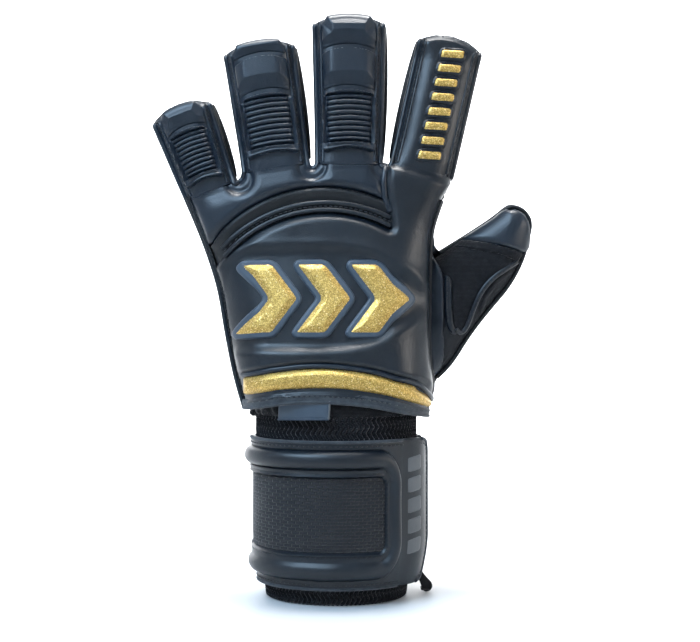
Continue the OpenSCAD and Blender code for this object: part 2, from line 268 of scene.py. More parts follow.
def ring(profile, count, ripple=None):
    """A band round the cuff: a closed profile of (outward, z) points carried round.
    ripple adds to outward."""
    s = np.linspace(-math.pi, math.pi, count + 1)[:-1]
    profile = np.asarray(profile, float)
    m = len(profile)
    angle = np.repeat(s, m)
    out = np.tile(profile[:, 0], count)
    z = np.tile(profile[:, 1], count)
    if ripple is not None:
        out = out + ripple(angle, z, np.tile(np.arange(m), count))
    verts = round_cuff(angle, out, z)
    index = np.arange(count * m).reshape(count, m)
    nxt = np.roll(index, -1, 0)
    faces = np.stack([index, nxt, np.roll(nxt, -1, 1), np.roll(index, -1, 1)], -1).reshape(-1, 4)
    return verts, [faces], 0


def make(name, parts, materials, body=None, blend=None, replaces=(), sharp=40):
    """One object from several parts, riding on a body. Given a blend, its transform is baked instead, and
    the blend's bodies and ends are not used.
    """
    verts, faces, slots, start = [], [], [], 0
    for v, groups, material in parts:
        for g in (groups if isinstance(groups, list) else [groups]):
            if isinstance(g, tuple):
                faces.append([int(i) + start for i in g[1]])
                slots.append(material)
            else:
                faces += (g + start).tolist()
                slots += [material] * len(g)
        verts.append(v)
        start += len(v)
    mesh = bpy.data.meshes.new(name)
    mesh.from_pydata((np.vstack(verts) * MM).tolist(), [], faces)
    for m in materials:
        mesh.materials.append(m)
    mesh.polygons.foreach_set("material_index", slots)
    mesh.polygons.foreach_set("use_smooth", [True] * len(faces))
    outwards = bmesh.new()
    outwards.from_mesh(mesh)
    bmesh.ops.recalc_face_normals(outwards, faces=outwards.faces)
    outwards.to_mesh(mesh)
    outwards.free()
    mesh.set_sharp_from_angle(angle=math.radians(sharp))
    mesh.update()
    piece = bpy.data.objects.new(name, mesh)
    bpy.context.scene.collection.objects.link(piece)
    if blend:
        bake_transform(piece)
    else:
        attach(piece, body)
    if replaces:
        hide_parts(*([replaces] if isinstance(replaces, str) else replaces))
    return piece


# ---- materials ----

class Nodes:
    """A material's nodes, made one after another."""

    def __init__(self, name, rough, specular=0.5, metallic=0.0, sheen=0.0):
        self.material = bpy.data.materials.new(name)
        self.material.use_nodes = True
        self.tree = self.material.node_tree
        self.shader = self.tree.nodes["Principled BSDF"]
        constants = {"Roughness": rough, "Specular IOR Level": specular, "Metallic": metallic,
                     "Sheen Weight": sheen, "Sheen Roughness": 0.4}
        for socket, value in constants.items():
            self.shader.inputs[socket].default_value = value
        self.place = self.node("ShaderNodeTexCoord").outputs["Object"]
        self.high = None

    def node(self, kind, **values):
        n = self.tree.nodes.new(kind)
        for key, value in values.items():
            if key in n.inputs:
                n.inputs[key].default_value = value
            else:
                setattr(n, key, value)
        return n

    def link(self, out, to):
        self.tree.links.new(out, to)

    def stretched(self, scale):
        mapping = self.node("ShaderNodeMapping")
        mapping.inputs["Scale"].default_value = scale
        self.link(self.place, mapping.inputs["Vector"])
        return mapping.outputs["Vector"]

    def noise(self, scale, detail=3.0):
        n = self.node("ShaderNodeTexNoise", Scale=scale, Detail=detail, Roughness=0.55)
        self.link(self.place, n.inputs["Vector"])
        return n.outputs["Fac"]

    def cells(self, scale, vector=None, out="Distance"):
        n = self.node("ShaderNodeTexVoronoi", Scale=scale)
        self.link(vector or self.place, n.inputs["Vector"])
        return n.outputs[out]

    def waves(self, scale, axis="Z", distortion=0.0):
        n = self.node("ShaderNodeTexWave", Scale=scale, Distortion=distortion)
        n.bands_direction = axis
        self.link(self.place, n.inputs["Vector"])
        return n.outputs["Fac"]

    def blend(self, fac, *stops):
        """A colour ramp over (position, colour) stops."""
        node = self.node("ShaderNodeValToRGB")
        ramp = node.color_ramp
        for i, (at, colour) in enumerate(stops):
            e = ramp.elements[i] if i < 2 else ramp.elements.new(at)
            e.position = at
            e.color = (*colour, 1)
        self.link(fac, node.inputs["Fac"])
        return node.outputs["Color"]

    def levels(self, fac, low, high):
        n = self.node("ShaderNodeMapRange")
        n.inputs["To Min"].default_value = low
        n.inputs["To Max"].default_value = high
        self.link(fac, n.inputs["Value"])
        return n.outputs["Result"]

    def math(self, operation, a, b):
        n = self.node("ShaderNodeMath", operation=operation)
        for i, value in enumerate((a, b)):
            if isinstance(value, (int, float)):
                n.inputs[i].default_value = value
            else:
                self.link(value, n.inputs[i])
        return n.outputs[0]

    def colour(self, out):
        self.link(out, self.shader.inputs["Base Color"])

    def rough(self, out):
        self.link(out, self.shader.inputs["Roughness"])

    def bump(self, height, depth, strength=1.0):
        """Adds a bump of that depth in metres."""
        n = self.node("ShaderNodeBump", Strength=strength, Distance=depth)
        self.link(height, n.inputs["Height"])
        if self.high is not None:
            self.link(self.high, n.inputs["Normal"])
        self.high = n.outputs["Normal"]
        self.link(self.high, self.shader.inputs["Normal"])


def coated(name, dark, light, rough=0.36):
    """Satin coated foam, with a fine pebbled grain, soft creases and duller worn spots."""
    m = Nodes(name, rough, specular=0.42)
    broad = m.noise(38, 4)
    m.colour(m.blend(broad, (0.3, dark), (0.75, light)))
    m.rough(m.levels(m.noise(210, 5), rough - 0.07, rough + 0.12))
    m.bump(m.noise(55, 3), 0.0007, 0.5)
    m.bump(m.cells(1500), 0.00012, 0.35)
    m.bump(m.noise(3200, 2), 0.00005, 0.4)
    return m.material


def latex(name, dark, light):
    """Matt foam latex, with small open pores."""
    m = Nodes(name, 0.78, specular=0.3)
    m.colour(m.blend(m.noise(120, 5), (0.3, dark), (0.7, light)))
    m.rough(m.levels(m.noise(900, 3), 0.68, 0.9))
    m.bump(m.cells(1300), 0.00025, 0.5)
    m.bump(m.noise(90, 3), 0.0004, 0.5)
    return m.material


def gold(name):
    """Gold print full of fine flakes."""
    m = Nodes(name, 0.42, metallic=0.72, specular=0.6)
    flakes = m.cells(2600, out="Color")
    tone = m.node("ShaderNodeSeparateColor")
    m.link(flakes, tone.inputs["Color"])
    m.colour(m.blend(tone.outputs["Red"], (0.0, (0.27, 0.16, 0.035)), (0.6, (0.52, 0.34, 0.085)),
                     (0.96, (0.72, 0.50, 0.16)), (1.0, (0.95, 0.78, 0.42))))
    m.rough(m.levels(tone.outputs["Green"], 0.3, 0.62))
    m.bump(tone.outputs["Blue"], 0.00007, 0.6)
    m.bump(m.noise(70, 3), 0.0004, 0.4)
    return m.material


def knit(name, dark, light, scale=520):
    """Fine jersey: small loops in rows."""
    m = Nodes(name, 0.88, specular=0.2, sheen=0.25)
    rows = m.waves(scale, "Z", distortion=0.6)
    loops = m.cells(1500, m.stretched((1, 1, 0.6)))
    m.colour(m.blend(m.math("MULTIPLY", rows, m.noise(400, 3)), (0.1, dark), (0.6, light)))
    m.rough(m.levels(m.noise(700, 2), 0.8, 0.95))
    m.bump(rows, 0.00025, 0.6)
    m.bump(loops, 0.0003, 0.5)
    return m.material


def open_mesh(name, dark, light):
    """Spacer mesh: staggered rows of short bars with gaps between them."""
    m = Nodes(name, 0.72, specular=0.35, sheen=0.15)
    apart = m.node("ShaderNodeSeparateXYZ")
    m.link(m.place, apart.inputs["Vector"])
    flat = m.node("ShaderNodeCombineXYZ")
    m.link(apart.outputs["X"], flat.inputs["X"])
    m.link(apart.outputs["Z"], flat.inputs["Y"])
    bars = m.node("ShaderNodeTexBrick", Scale=1.0)
    bars.inputs["Brick Width"].default_value = 0.0036
    bars.inputs["Row Height"].default_value = 0.0015
    bars.inputs["Mortar Size"].default_value = 0.0003
    bars.inputs["Mortar Smooth"].default_value = 1.0
    m.link(flat.outputs["Vector"], bars.inputs["Vector"])
    high = m.levels(bars.outputs["Fac"], 1.0, 0.0)
    threads = m.noise(1800, 2)
    m.colour(m.blend(m.math("MULTIPLY", high, m.levels(threads, 0.6, 1.2)), (0.1, dark), (0.8, light)))
    m.rough(m.levels(threads, 0.6, 0.85))
    m.bump(high, 0.0006, 0.9)
    m.bump(threads, 0.00015, 0.4)
    return m.material


def woven(name, dark, light, scale=900, rough=0.75):
    """Narrow woven tape."""
    m = Nodes(name, rough, specular=0.3, sheen=0.15)
    warp, weft = m.waves(scale, "X"), m.waves(scale * 0.8, "Z")
    weave = m.math("MULTIPLY", warp, weft)
    m.colour(m.blend(m.math("ADD", weave, m.noise(300, 3)), (0.35, dark), (1.1, light)))
    m.rough(m.levels(m.noise(500, 2), rough - 0.08, rough + 0.1))
    m.bump(weave, 0.0002, 0.6)
    return m.material


def plain_floor():
    m = Nodes("pale_floor", 0.6, specular=0.2)
    m.colour(m.blend(m.noise(3, 2), (0.3, (0.49, 0.495, 0.5)), (0.7, (0.52, 0.525, 0.53))))
    return m.material


PANEL = coated("blue_black_panel", (0.0014, 0.0036, 0.0068), (0.0035, 0.008, 0.0135), 0.35)
# A lighter copy of the blue-black panel: its extra lightness is a painted highlight, standing in for sky
# light on the knuckle band, padded fingers, thumb and edges.
PAINTED_HIGHLIGHT_PANEL = coated("steel_blue_panel", (0.0035, 0.0075, 0.0135), (0.009, 0.0165, 0.027), 0.33)
BORDER = coated("emblem_border", (0.03, 0.045, 0.065), (0.05, 0.07, 0.095), 0.42)
# A darker copy of the blue-black panel: its near-black colour is painted shade, for the crescent's slope
# that faces down, away from the light.
SHADE = coated("painted_shade_panel", (0.0012, 0.0018, 0.0026), (0.003, 0.0045, 0.0065), 0.55)
LATEX = latex("dark_latex", (0.009, 0.010, 0.012), (0.016, 0.0175, 0.020))
GOLD = gold("gold_flake_print")
KNIT = knit("black_knit", (0.002, 0.002, 0.003), (0.014, 0.015, 0.018))
MESH = open_mesh("black_mesh", (0.001, 0.001, 0.0015), (0.010, 0.011, 0.014))
TAPE = woven("grey_tape", (0.018, 0.022, 0.028), (0.055, 0.063, 0.072))
WEBBING = woven("black_webbing", (0.002, 0.002, 0.003), (0.014, 0.014, 0.016), 1100)
THREAD = woven("grey_thread", (0.012, 0.014, 0.018), (0.045, 0.052, 0.06), 2600, 0.6)
DARK_THREAD = woven("dark_thread", (0.002, 0.002, 0.003), (0.010, 0.011, 0.014), 2600, 0.6)
FOAM = knit("fleece_lining", (0.09, 0.095, 0.1), (0.2, 0.21, 0.22), 700)
HOOKS = knit("hook_and_loop", (0.004, 0.004, 0.005), (0.03, 0.03, 0.033), 1400)
PRINT = coated("grey_rubber_print", (0.07, 0.075, 0.08), (0.11, 0.117, 0.122), 0.5)


# ---- the glove's plan, from the frame ----

class Finger:
    """One finger's place and size, read from its joint and its palm node."""

    def __init__(self, name):
        joint = next(j for j in frame["joints"] if j["child"] == name)
        self.name = name
        self.hinge = np.array(joint["pos_m"]) / MM
        self.origin = self.hinge[[0, 2]]
        self.across = np.array([-joint["axis"][0], -joint["axis"][2]])
        self.along = np.array([-self.across[1], self.across[0]])
        corners = frame["nodes"][name + "_palm"].data.vertices
        p = self.local(np.array([(v.co.x, v.co.z) for v in corners]) / MM)
        self.length = p[:, 1].max()
        self.half_tip = np.abs(p[:, 0]).max()
        self.half_base = np.abs(p[p[:, 1] < 1, 0]).max()

    def local(self, p):
        return np.stack([(p - self.origin) @ self.across, (p - self.origin) @ self.along], 1)

    def plan(self, q):
        q = np.asarray(q, float)
        return self.origin + q[:, :1] * self.across + q[:, 1:] * self.along

    def half(self, z):
        return self.half_base + (self.half_tip - self.half_base) * z / self.length

    def outline(self, inset=0.0, low=0.0):
        """From the base's left corner over the tip to its right corner."""
        top, h = self.length - inset, self.half_tip - inset
        left = [(-h, top - 11), (-h, top - 7), (0.5 - h, top - 5), (2.4 - h, top - 3.6),
                (-0.5 * h, top - 1.1)]
        right = [(-x, z) for x, z in left[::-1]]
        base = self.half(low) - inset
        return self.plan([(-base, low), *left, (0, top), *right, (base, low)])

    def side(self, sign, inset, low=0.0):
        """One side's line, from the base up to the corner beside the tip."""
        high = self.length - 5.2 - inset * 0.4
        return self.plan([(sign * (self.half(z) - inset), z) for z in np.linspace(low, high, 30)])

    def base_line(self):
        return self.plan([(-self.half_base, 0), (self.half_base, 0)])

    def block(self, low, high, side, bow, corner):
        """A pad's outline across the finger, its ends bowed towards the tip."""
        a, b = self.half(low) - side, self.half(high) - side
        lower = [(x * a, low + bow * (1 - x * x)) for x in np.linspace(1, -1, 7)]
        upper = [(x * b, high + bow * (1 - x * x)) for x in np.linspace(-1, 1, 7)]
        return soften(resample(self.plan(lower + upper), corner), 3)

    def tip_block(self, low, side, bow):
        """A pad's outline from its bowed lower edge up to the fingertip."""
        a, h, top = self.half(low) - side, self.half_tip - side, self.length
        lower = [(x * a, low + bow * (1 - x * x)) for x in np.linspace(1, -1, 7)]
        upper = [(-h, top - 9), (0.4 - h, top - 6), (2.6 - h, top - 3.6), (-0.45 * h, top - 2.0),
                 (0, top - 1.5)]
        upper += [(-x, z) for x, z in upper[-2::-1]]
        return soften(resample(self.plan(lower + upper), 1.6), 3)

    def bend(self, high=22.0):
        """The blend from the glove to this finger, over that much of its length."""
        ends = [self.plan([(0, z)])[0] for z in (0, high)]
        start, end = ((x * MM, self.hinge[1] * MM, z * MM) for x, z in ends)
        return "glove", self.name, start, end


FINGERS = [Finger(name) for name in ("pinky", "ring", "middle", "index")]
PINKY, RING, MIDDLE, INDEX = FINGERS
KNUCKLE_Z = MIDDLE.origin[1]
WRIST_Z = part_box("palm_latex")[0].z / MM
LITTLE_SIDE = [(-45, 80), (-47, 88), (-50, 98), (-52.6, 108.5), (-56, 126), (-58.5, 142),
               (-62, 154), (-67, 168)]
THUMB_SIDE = [(47, 185), (42.8, 173), (41.8, 164), (41.4, 150), (41.2, 125), (41.4, 112),
              (42.6, 104), (43.2, 98), (42, 93.5), (40.4, 89), (39.4, 84), (39, 76)]
THUMB_UPPER = [(45.3, 162.3), (55.5, 168.5), (71, 178.5)]
THUMB_TIP = arc(79.9, 174.5, 10.2, 100, -10, 8)
THUMB_LOWER = [(87, 159), (80, 145.5), (70, 134), (61, 122.5), (52, 108), (45.3, 101.5)]
THUMB_ROOT_X = 45.3
HEM = [(38.3, 84.6), (25, 88.4), (10, 91.5), (-10, 93.0), (-28, 92.2), (-43.6, 89.6)]



def smooth_line(*points, step=1.2):
    """One open line with its corners cut, through points and lists of points."""
    return resample(soften(np.vstack(points), 2, False), step, False)


over_fingers = np.vstack([f.outline() for f in FINGERS])
over_thumb = np.vstack([THUMB_UPPER, THUMB_TIP, THUMB_LOWER])
silhouette = smooth_line(LITTLE_SIDE, over_fingers, THUMB_SIDE)
thumb_outline = smooth_line((30, 158), (40, 160), over_thumb, (40, 97), (30, 91))
palm_outline = smooth_line(LITTLE_SIDE, over_fingers, THUMB_SIDE[:2], (43.5, 165.5), over_thumb,
                           THUMB_SIDE[-5:])
crotches = [(a.base_line()[1] + b.base_line()[0]) / 2 for a, b in zip(FINGERS, FINGERS[1:])]


def down_hand(q):
    """0 at the wrist and 1 at the knuckles."""
    return (q[:, 1] - WRIST_Z) / (KNUCKLE_Z - WRIST_Z)


def seam_y(q):
    lean = math.tan(math.radians(4))
    return 3 - 4 * np.clip(down_hand(q), 0, 1) + lean * np.clip(q[:, 1] - KNUCKLE_Z, 0, None)


def tip_taper(q):
    return 2.5 * np.clip((q[:, 1] - KNUCKLE_Z - 8) / 64, 0, 1) ** 2


def back_depth(q):
    t = smoothstep(down_hand(q))
    across = (0.0042 * (1 - t) + 0.0008 * t) * (q[:, 0] + 5) ** 2
    return 35 - 20 * t - np.minimum(across, 9) - tip_taper(q)


def palm_depth(q):
    t = smoothstep(down_hand(q))
    hollow = 3 * np.exp(-((q[:, 0] + 4) / 24) ** 2 - ((q[:, 1] - 150) / 30) ** 2)
    at_thumb = thumb_share(q)
    return (27 - 13 * t - hollow) * (1 - at_thumb) + 14 * at_thumb - tip_taper(q)


def thumb_share(q):
    return smoothstep((q[:, 0] - 38) / 14) * smoothstep((186 - q[:, 1]) / 12)


def thumb_seam_y(q):
    return np.full(len(q), 9.0)


def palm_seam_y(q):
    return seam_y(q) * (1 - thumb_share(q)) + thumb_seam_y(q) * thumb_share(q)


def hand_roll(q):
    """How wide the rounding is from the seam up to the full depth: tighter on fingers and in crotches."""
    roll = 19 - 8 * smoothstep((q[:, 1] - 150) / 45)
    for c in crotches:
        roll = roll * (1 - 0.45 * np.exp(-((q - c) ** 2).sum(1) / 60))
    for f in FINGERS:
        x, z = f.local(q).T
        at_tip = smoothstep((z - f.length + 16) / 11) * smoothstep((22 - np.abs(x)) / 3)
        roll = roll * (1 - 0.58 * at_tip)
    return roll


def thumb_roll(q):
    return np.full(len(q), 13.0)


def dome(outline, side, seam, depth, roll_at, inset=0.0):
    """A form that swells out of the seam plane inside an open outline."""
    def form(p):
        p = np.asarray(p, float)
        d, near = nearest(p, outline, closed=False)
        roll = roll_at(p)
        turn = np.clip(d / roll, 0, 1) * math.pi / 2
        away = (p - near) / np.maximum(d, 1e-6)[:, None]
        d_new = np.where(d < roll, roll * (1 - np.cos(turn)), d)
        q = near + away * np.maximum(d_new, inset * np.cos(turn))[:, None]
        y = seam(q) + side * (depth(q) - inset) * np.sin(turn) ** 0.9
        return np.stack([q[:, 0], y, q[:, 1]], 1)
    return form


def unrolled(points, outline=silhouette, roll_at=hand_roll):
    """Where the plan of a form has to be, for the form to show at the points given."""
    p = np.asarray(points, float)
    d, near = nearest(p, outline, closed=False)
    roll = roll_at(p)
    turn = np.arccos(np.clip(1 - d / roll, 0, 1))
    d_flat = np.where(d < roll, roll * turn / (math.pi / 2), d)
    return near + (p - near) / np.maximum(d, 1e-6)[:, None] * d_flat[:, None]


def outward(line):
    """Unit directions out of an outline that runs clockwise."""
    t = np.gradient(np.asarray(line, float), axis=0)
    t /= np.linalg.norm(t, axis=1)[:, None] + 1e-12
    return np.stack([-t[:, 1], t[:, 0]], 1)


def beside(line, distance, step=1.0):
    """An open line moved outwards by that distance, or inwards if it's negative."""
    line = resample(line, step, False)
    return line + outward(line) * distance


def grown(outline, distance):
    """A closed outline moved outwards by that distance."""
    p = resample(outline, 0.8)
    t = np.roll(p, -1, 0) - np.roll(p, 1, 0)
    t /= np.linalg.norm(t, axis=1)[:, None]
    out = np.stack([-t[:, 1], t[:, 0]], 1)
    area = np.sum(p[:, 0] * np.roll(p[:, 1], -1) - p[:, 1] * np.roll(p[:, 0], -1))
    return soften(resample(p + out * distance * (-1 if area > 0 else 1), 1.5), 2)


back_form = dome(silhouette, FRONT, seam_y, back_depth, hand_roll)
back_foam_form = dome(silhouette, FRONT, seam_y, back_depth, hand_roll, 3.0)
palm_form = dome(palm_outline, PALM, palm_seam_y, palm_depth, hand_roll)
palm_foam_form = dome(palm_outline, PALM, palm_seam_y, palm_depth, hand_roll, 3.6)
thumb_form = dome(thumb_outline, FRONT, thumb_seam_y, lambda q: np.full(len(q), 12.0), thumb_roll)


# ---- seams ----

def at_seam(line, seam, y):
    return np.stack([line[:, 0], seam(line) + y, line[:, 1]], 1)


def side_wall(line, seam, front, palm, material):
    """The wall along the seam, from the back panel's edge to the palm's."""
    line = resample(line, 1.0, False)
    out = outward(line)
    ups = np.stack([out[:, 0], np.zeros(len(out)), out[:, 1]], 1)
    section = [(-palm, -2.6), (-palm, -1.0), (-palm * 0.6, 0.2), (0, 0.5),
               (front * 0.6, 0.2), (front, -1.0), (front, -2.6)]
    return sweep(at_seam(line, seam, 0), section, ups, material=material)


def seam_edge(line, form, lift=0.1, width=2.4, high=2.0, material=1, flip=False):
    """The rounded edge of two layers sewn together."""
    return bead(line, form, lift, width, high, flip=flip, material=material)


# ---- fingers ----

FLANGE_IN = 1.2       # middle of the sewn edge, from the silhouette
STITCH_IN = 2.8
INNER_IN = 3.9
PAD_IN = 4.4
PAD_BOW = 2.5
RIM_SIDE = 3.2        # the ribbed pads' frame: width at the sides, foot and head
RIM_FOOT = 3.0
RIM_HEAD = 2.2


def roll_place(p, inset):
    """Distance along the skin that shows at that inset from the silhouette."""
    roll = hand_roll(p)
    return roll * np.arccos(np.clip(1 - inset / roll, 0, 1)) / (math.pi / 2)


def seam_groove(p):
    """The groove that the stitches lie in, along a finger's sides."""
    d = nearest(p, silhouette, closed=False)[0]
    return -0.55 * np.exp(-((d - roll_place(p, STITCH_IN)) / 0.55) ** 2)


def facing_edge(line, form, lift, width, high, material, round_end=False):
    """A flat rounded edge on a form, turned towards the front. Its last end can be rounded off."""
    step, end = 0.7, 1.4
    line = resample(line, step, False)
    up = up_on(form, line)
    turned = unit(up + (0, -1.1, 0))
    left = np.arange(len(line))[::-1] * step
    sizes = np.sqrt(1 - (1 - np.clip(left / end, 0.04, 1)) ** 2) if round_end else None
    return sweep(form(line) + up * lift, round_section(width, high, 12), turned, material, sizes)


def ribbed(f, low, high, ribs=9):
    """Height of a raised frame round a window of rounded ribs."""
    pitch = (high - low - RIM_FOOT - RIM_HEAD) / ribs

    def relief(q, d):
        bow = PAD_BOW * (1 - (q[:, 0] / f.half_base) ** 2)
        up = q[:, 1] - bow - low - RIM_FOOT
        into = np.min([f.half(q[:, 1]) - PAD_IN - RIM_SIDE - np.abs(q[:, 0]), up, ribs * pitch - up], 0)
        rib = 0.5 + 1.9 * np.abs(np.sin(math.pi * up / pitch)) ** 0.5 * smoothstep((into + 0.1) / 1.2)
        rim = 2.6 * smoothstep((d + 0.2) / 0.9) - 0.55 * np.exp(-((d - 1.7) / 0.4) ** 2)
        return np.where(into < 0, rim * (1 - 0.7 * smoothstep((into + 0.5) / 0.5)), rib)
    return relief


def faceted(f, high, low):
    """Height of a smooth pad with bevelled sides and a sloped lower face."""
    def relief(q, d):
        bow = PAD_BOW * (1 - (q[:, 0] / f.half_base) ** 2)
        side = np.clip((f.half(q[:, 1]) - PAD_IN - 1.0 - np.abs(q[:, 0])) / 4.2, 0, 1)
        foot = np.clip((q[:, 1] - low - bow) / 6.2, 0.1, 1)
        head = np.clip((f.length - 2.0 - q[:, 1]) / 6.0, 0.0, 1)
        return 0.3 + high * np.min([side, foot, head], 0) * smoothstep(d / 0.7)
    return relief


def latex_roll(f):
    """The palm's latex that shows beyond one side of a finger."""
    sign = -1 if f is INDEX else 1
    edge = resample(f.side(sign, -0.2, 4.0), 1.0, False)
    out = at_seam(outward(edge) * sign, seam_y, 0) * (1, 0, 1)
    swell = np.sin(np.linspace(0.1, math.pi - 0.05, len(edge))) ** 0.5
    return sweep(at_seam(edge, seam_y, 2.6), round_section(7.0, 3.8), out, sizes=swell)


def finger(f, pads, material):
    """A finger's skins, seams and foam, and its pads: low and high ends by kind."""
    bend, base = f.bend(), [(-f.half_base, 0), (f.half_base, 0)]

    def local_panel(outline, form, relief, step, skin, edge, **more):
        """A panel made in the finger's own directions."""
        return panel(f.local(outline), lambda q: form(f.plan(q)), relief, step, skin, edge, **more)

    def corners(inset):
        return f.plan([(f.half_base - inset, 0), (inset - f.half_base, 0)])

    def whole(inset):
        return np.vstack([f.outline(inset)[1:-1], corners(inset)])

    def palm_relief(q, d):
        return 0.3 + creases(f.plan(q), 0.25) * smoothstep(q[:, 1] / 8)

    back = unrolled(whole(0.8))
    make(f.name + "_back_skin",
         [local_panel(back, back_form, lambda q, d: seam_groove(f.plan(q)), 0.55, 1.6, 0.8, flush=[base])],
         [material], blend=bend, replaces=f.name + "_back")
    seams = [side_wall(f.outline(0.3), seam_y, 5.5, 5.5, 0),
             seam_edge(unrolled(f.outline(1.2), palm_outline), palm_form, flip=True, width=2.0, high=1.6)]
    for sign in (-1, 1):
        seams += [facing_edge(unrolled(f.side(sign, FLANGE_IN)), back_form, 0.3, 2.4, 1.7, 1, True),
                  facing_edge(unrolled(f.side(sign, INNER_IN, 1.0)), back_form, 0.05, 1.4, 1.1, 1, True),
                  stitches(unrolled(f.side(sign, STITCH_IN, 0.8)), back_form, -0.2, 2.1, 1.5)]
    seams.append(latex_roll(f))
    make(f.name + "_side_wall", seams, [LATEX, material, DARK_THREAD], blend=bend,
         replaces=f.name + "_gusset")
    palm = unrolled(whole(1.0), palm_outline)
    make(f.name + "_palm_skin",
         [local_panel(palm, palm_form, palm_relief, 0.8, 2.6, 1.4, flip=True, flush=[base])],
         [LATEX], blend=bend, replaces=f.name + "_palm")
    foam = panel(whole(4.0), back_foam_form, 0.0, 1.5, 1.0, 0.8, flush=[f.base_line()])
    make(f.name + "_foam_layer", [foam], [FOAM], blend=bend, replaces=f.name + "_foam")
    for kind, (low, high) in pads.items():
        if kind == "tip":
            outline = f.tip_block(low, PAD_IN, PAD_BOW)
        else:
            outline = f.block(low, high, PAD_IN, PAD_BOW, 3.9 if kind == "flex" else 1.6)
        relief = ribbed(f, low, high) if kind == "flex" else faceted(f, 2.9, low)
        make(f"{f.name}_{kind}_block",
             [local_panel(unrolled(outline), back_form, relief, 0.27, 1.4, 0.4)], [material],
             blend=bend, replaces=f"{f.name}_{kind}_pad")


def creases(p, size):
    """Soft uneven swelling of a padded skin."""
    x, z = p[:, 0], p[:, 1]
    broad = np.sin(0.115 * x + 0.07 * z + 1) * np.sin(0.09 * z - 0.05 * x)
    return size * (broad + 0.4 * np.sin(0.23 * x - 0.17 * z))


# The padded fingers take the lighter copy of the panel, a painted highlight.
finger(PINKY, {"flex": (3.5, 28.5), "tip": (30, 44)}, PAINTED_HIGHLIGHT_PANEL)
finger(RING, {"flex": (4.5, 32.5), "mid": (34.5, 50), "tip": (52, 62)}, PAINTED_HIGHLIGHT_PANEL)
finger(MIDDLE, {"flex": (4.5, 32), "mid": (34, 51.5), "tip": (53.5, 71)}, PAINTED_HIGHLIGHT_PANEL)
finger(INDEX, {}, PANEL)


def index_print():
    """Row of slanted gold dashes with an embossed edge round each."""
    f, gold_parts, edges = INDEX, [], []
    first, pitch, count, wide, slant = 4, 7, 8, 4.2, 2
    left, right = -3.6, 7.2

    def relief(p, d):
        return 0.9 + 0.5 * smoothstep(d / 1.6)

    for i in range(count):
        z = first + pitch * i
        dash = f.plan([(left, z), (right, z + slant), (right, z + slant + wide), (left, z + wide)])
        dash = soften(resample(dash, 1.2), 2)
        gold_parts.append(panel(unrolled(dash), back_form, relief, 0.4, 1.2, 0.5))
        edges.append(panel(unrolled(grown(dash, 1.1)), back_form, 0.75, 0.45, 1.0, 0.7, material=1))
    make("index_dashes", gold_parts + edges, [GOLD, PANEL], blend=f.bend(), replaces="index_relief")


index_print()


# ---- back of the hand ----

def circle_z(x, centre, radius):
    return centre[1] + np.sqrt(np.maximum(radius ** 2 - (x - centre[0]) ** 2, 0))


LOW_CIRCLE = ((-8, 118), 61)
HIGH_CIRCLE = ((-9, 124), 66.5)
CRESCENT_END = 21


def circle_line(circle, start, end, lift=0.0, n=40):
    (cx, cz), r = circle
    x = np.linspace(start, end, n)
    return np.stack([x, circle_z(x, (cx, cz), r + lift)], 1)


LITTLE_LINE = [*LITTLE_SIDE, *PINKY.plan([(-PINKY.half_base, 0), (-PINKY.half(2), 2)])]
little_edge = beside(soften(LITTLE_LINE, 2, False), -2.2)
inner_seam = [(19.2, 201.2), (18.4, 192), (19, 185.5), (21.5, 179)]


def edge_between(line, low, high):
    z = line[:, 1]
    return line[(z > low) & (z < high)]


def first_crossing(line, circle):
    """Height at which a line meets a circle, going up."""
    (cx, cz), r = circle
    outside = np.hypot(line[:, 0] - cx, line[:, 1] - cz) > r
    return line[np.flatnonzero(outside & (line[:, 1] > cz))[0], 1]


low_z, high_z = first_crossing(little_edge, LOW_CIRCLE), first_crossing(little_edge, HIGH_CIRCLE)
low_arc = circle_line(LOW_CIRCLE, little_edge[little_edge[:, 1] < low_z][-1][0], CRESCENT_END)
high_arc = circle_line(HIGH_CIRCLE, little_edge[little_edge[:, 1] < high_z][-1][0], CRESCENT_END - 2)
thumb_edge = beside(soften(THUMB_SIDE, 2, False), -1.0)

CHEVRON = [(-46, 123), (-32, 123), (-20, 139), (-32, 155), (-46, 155), (-34, 139)]
chevrons = [soften(resample(np.array(CHEVRON) + (24 * i, 0), 2.4), 3) for i in range(3)]
borders = [grown(c, 1.9) for c in chevrons]
BAR_LOW = [(-42, 96.2), (-28, 98.2), (-14, 99.2), (2, 98.6), (18, 96.2), (30, 92.6), (38.6, 88.6)]
BAR_HIGH = [(39.5, 91.5), (34, 96.5), (26, 101.2), (12, 105.6), (-4, 107.6), (-20, 107.6), (-42, 104.2)]
gold_bar = soften(np.array(BAR_LOW + BAR_HIGH), 2, False)
above_bar = beside(soften(BAR_HIGH[::-1], 2, False), 1.2)


emblem_field = soften([(-50, 156), (-44, 159), (8, 159), (22, 151), (31, 139), (22, 127),
                       (8, 119), (-44, 119), (-50, 122)], 3)


def back_relief(p, d):
    near_emblem = nearest(p, emblem_field)[0] * ~inside(p, emblem_field)
    near_bar = nearest(p, gold_bar)[0] * ~inside(p, gold_bar)
    puff = 2.1 * smoothstep(near_emblem / 5.5) + 0.3 * np.exp(-((near_emblem - 5.5) / 2) ** 2)
    puff = puff * smoothstep((near_bar - 1.4) / 2.5)
    return puff * smoothstep(d / 5) + creases(p, 0.3) * smoothstep(d / 10)


def pressed(low, rise, width):
    """A print's height: low at its edge and up by rise within width of it."""
    def relief(p, d):
        return low + rise * smoothstep(d / width)
    return relief


back_outline = np.vstack([unrolled(edge_between(little_edge, 89.5, low_z)), low_arc[1:],
                          inner_seam[::-1][1:], INDEX.base_line(),
                          unrolled(edge_between(thumb_edge, 88, 196)), HEM])
make("back_skin",
     [panel(back_outline, back_form, back_relief, 0.7, 2.2, 1.2, flush=[INDEX.base_line()])],
     [PANEL], body="glove", replaces="back_panel")

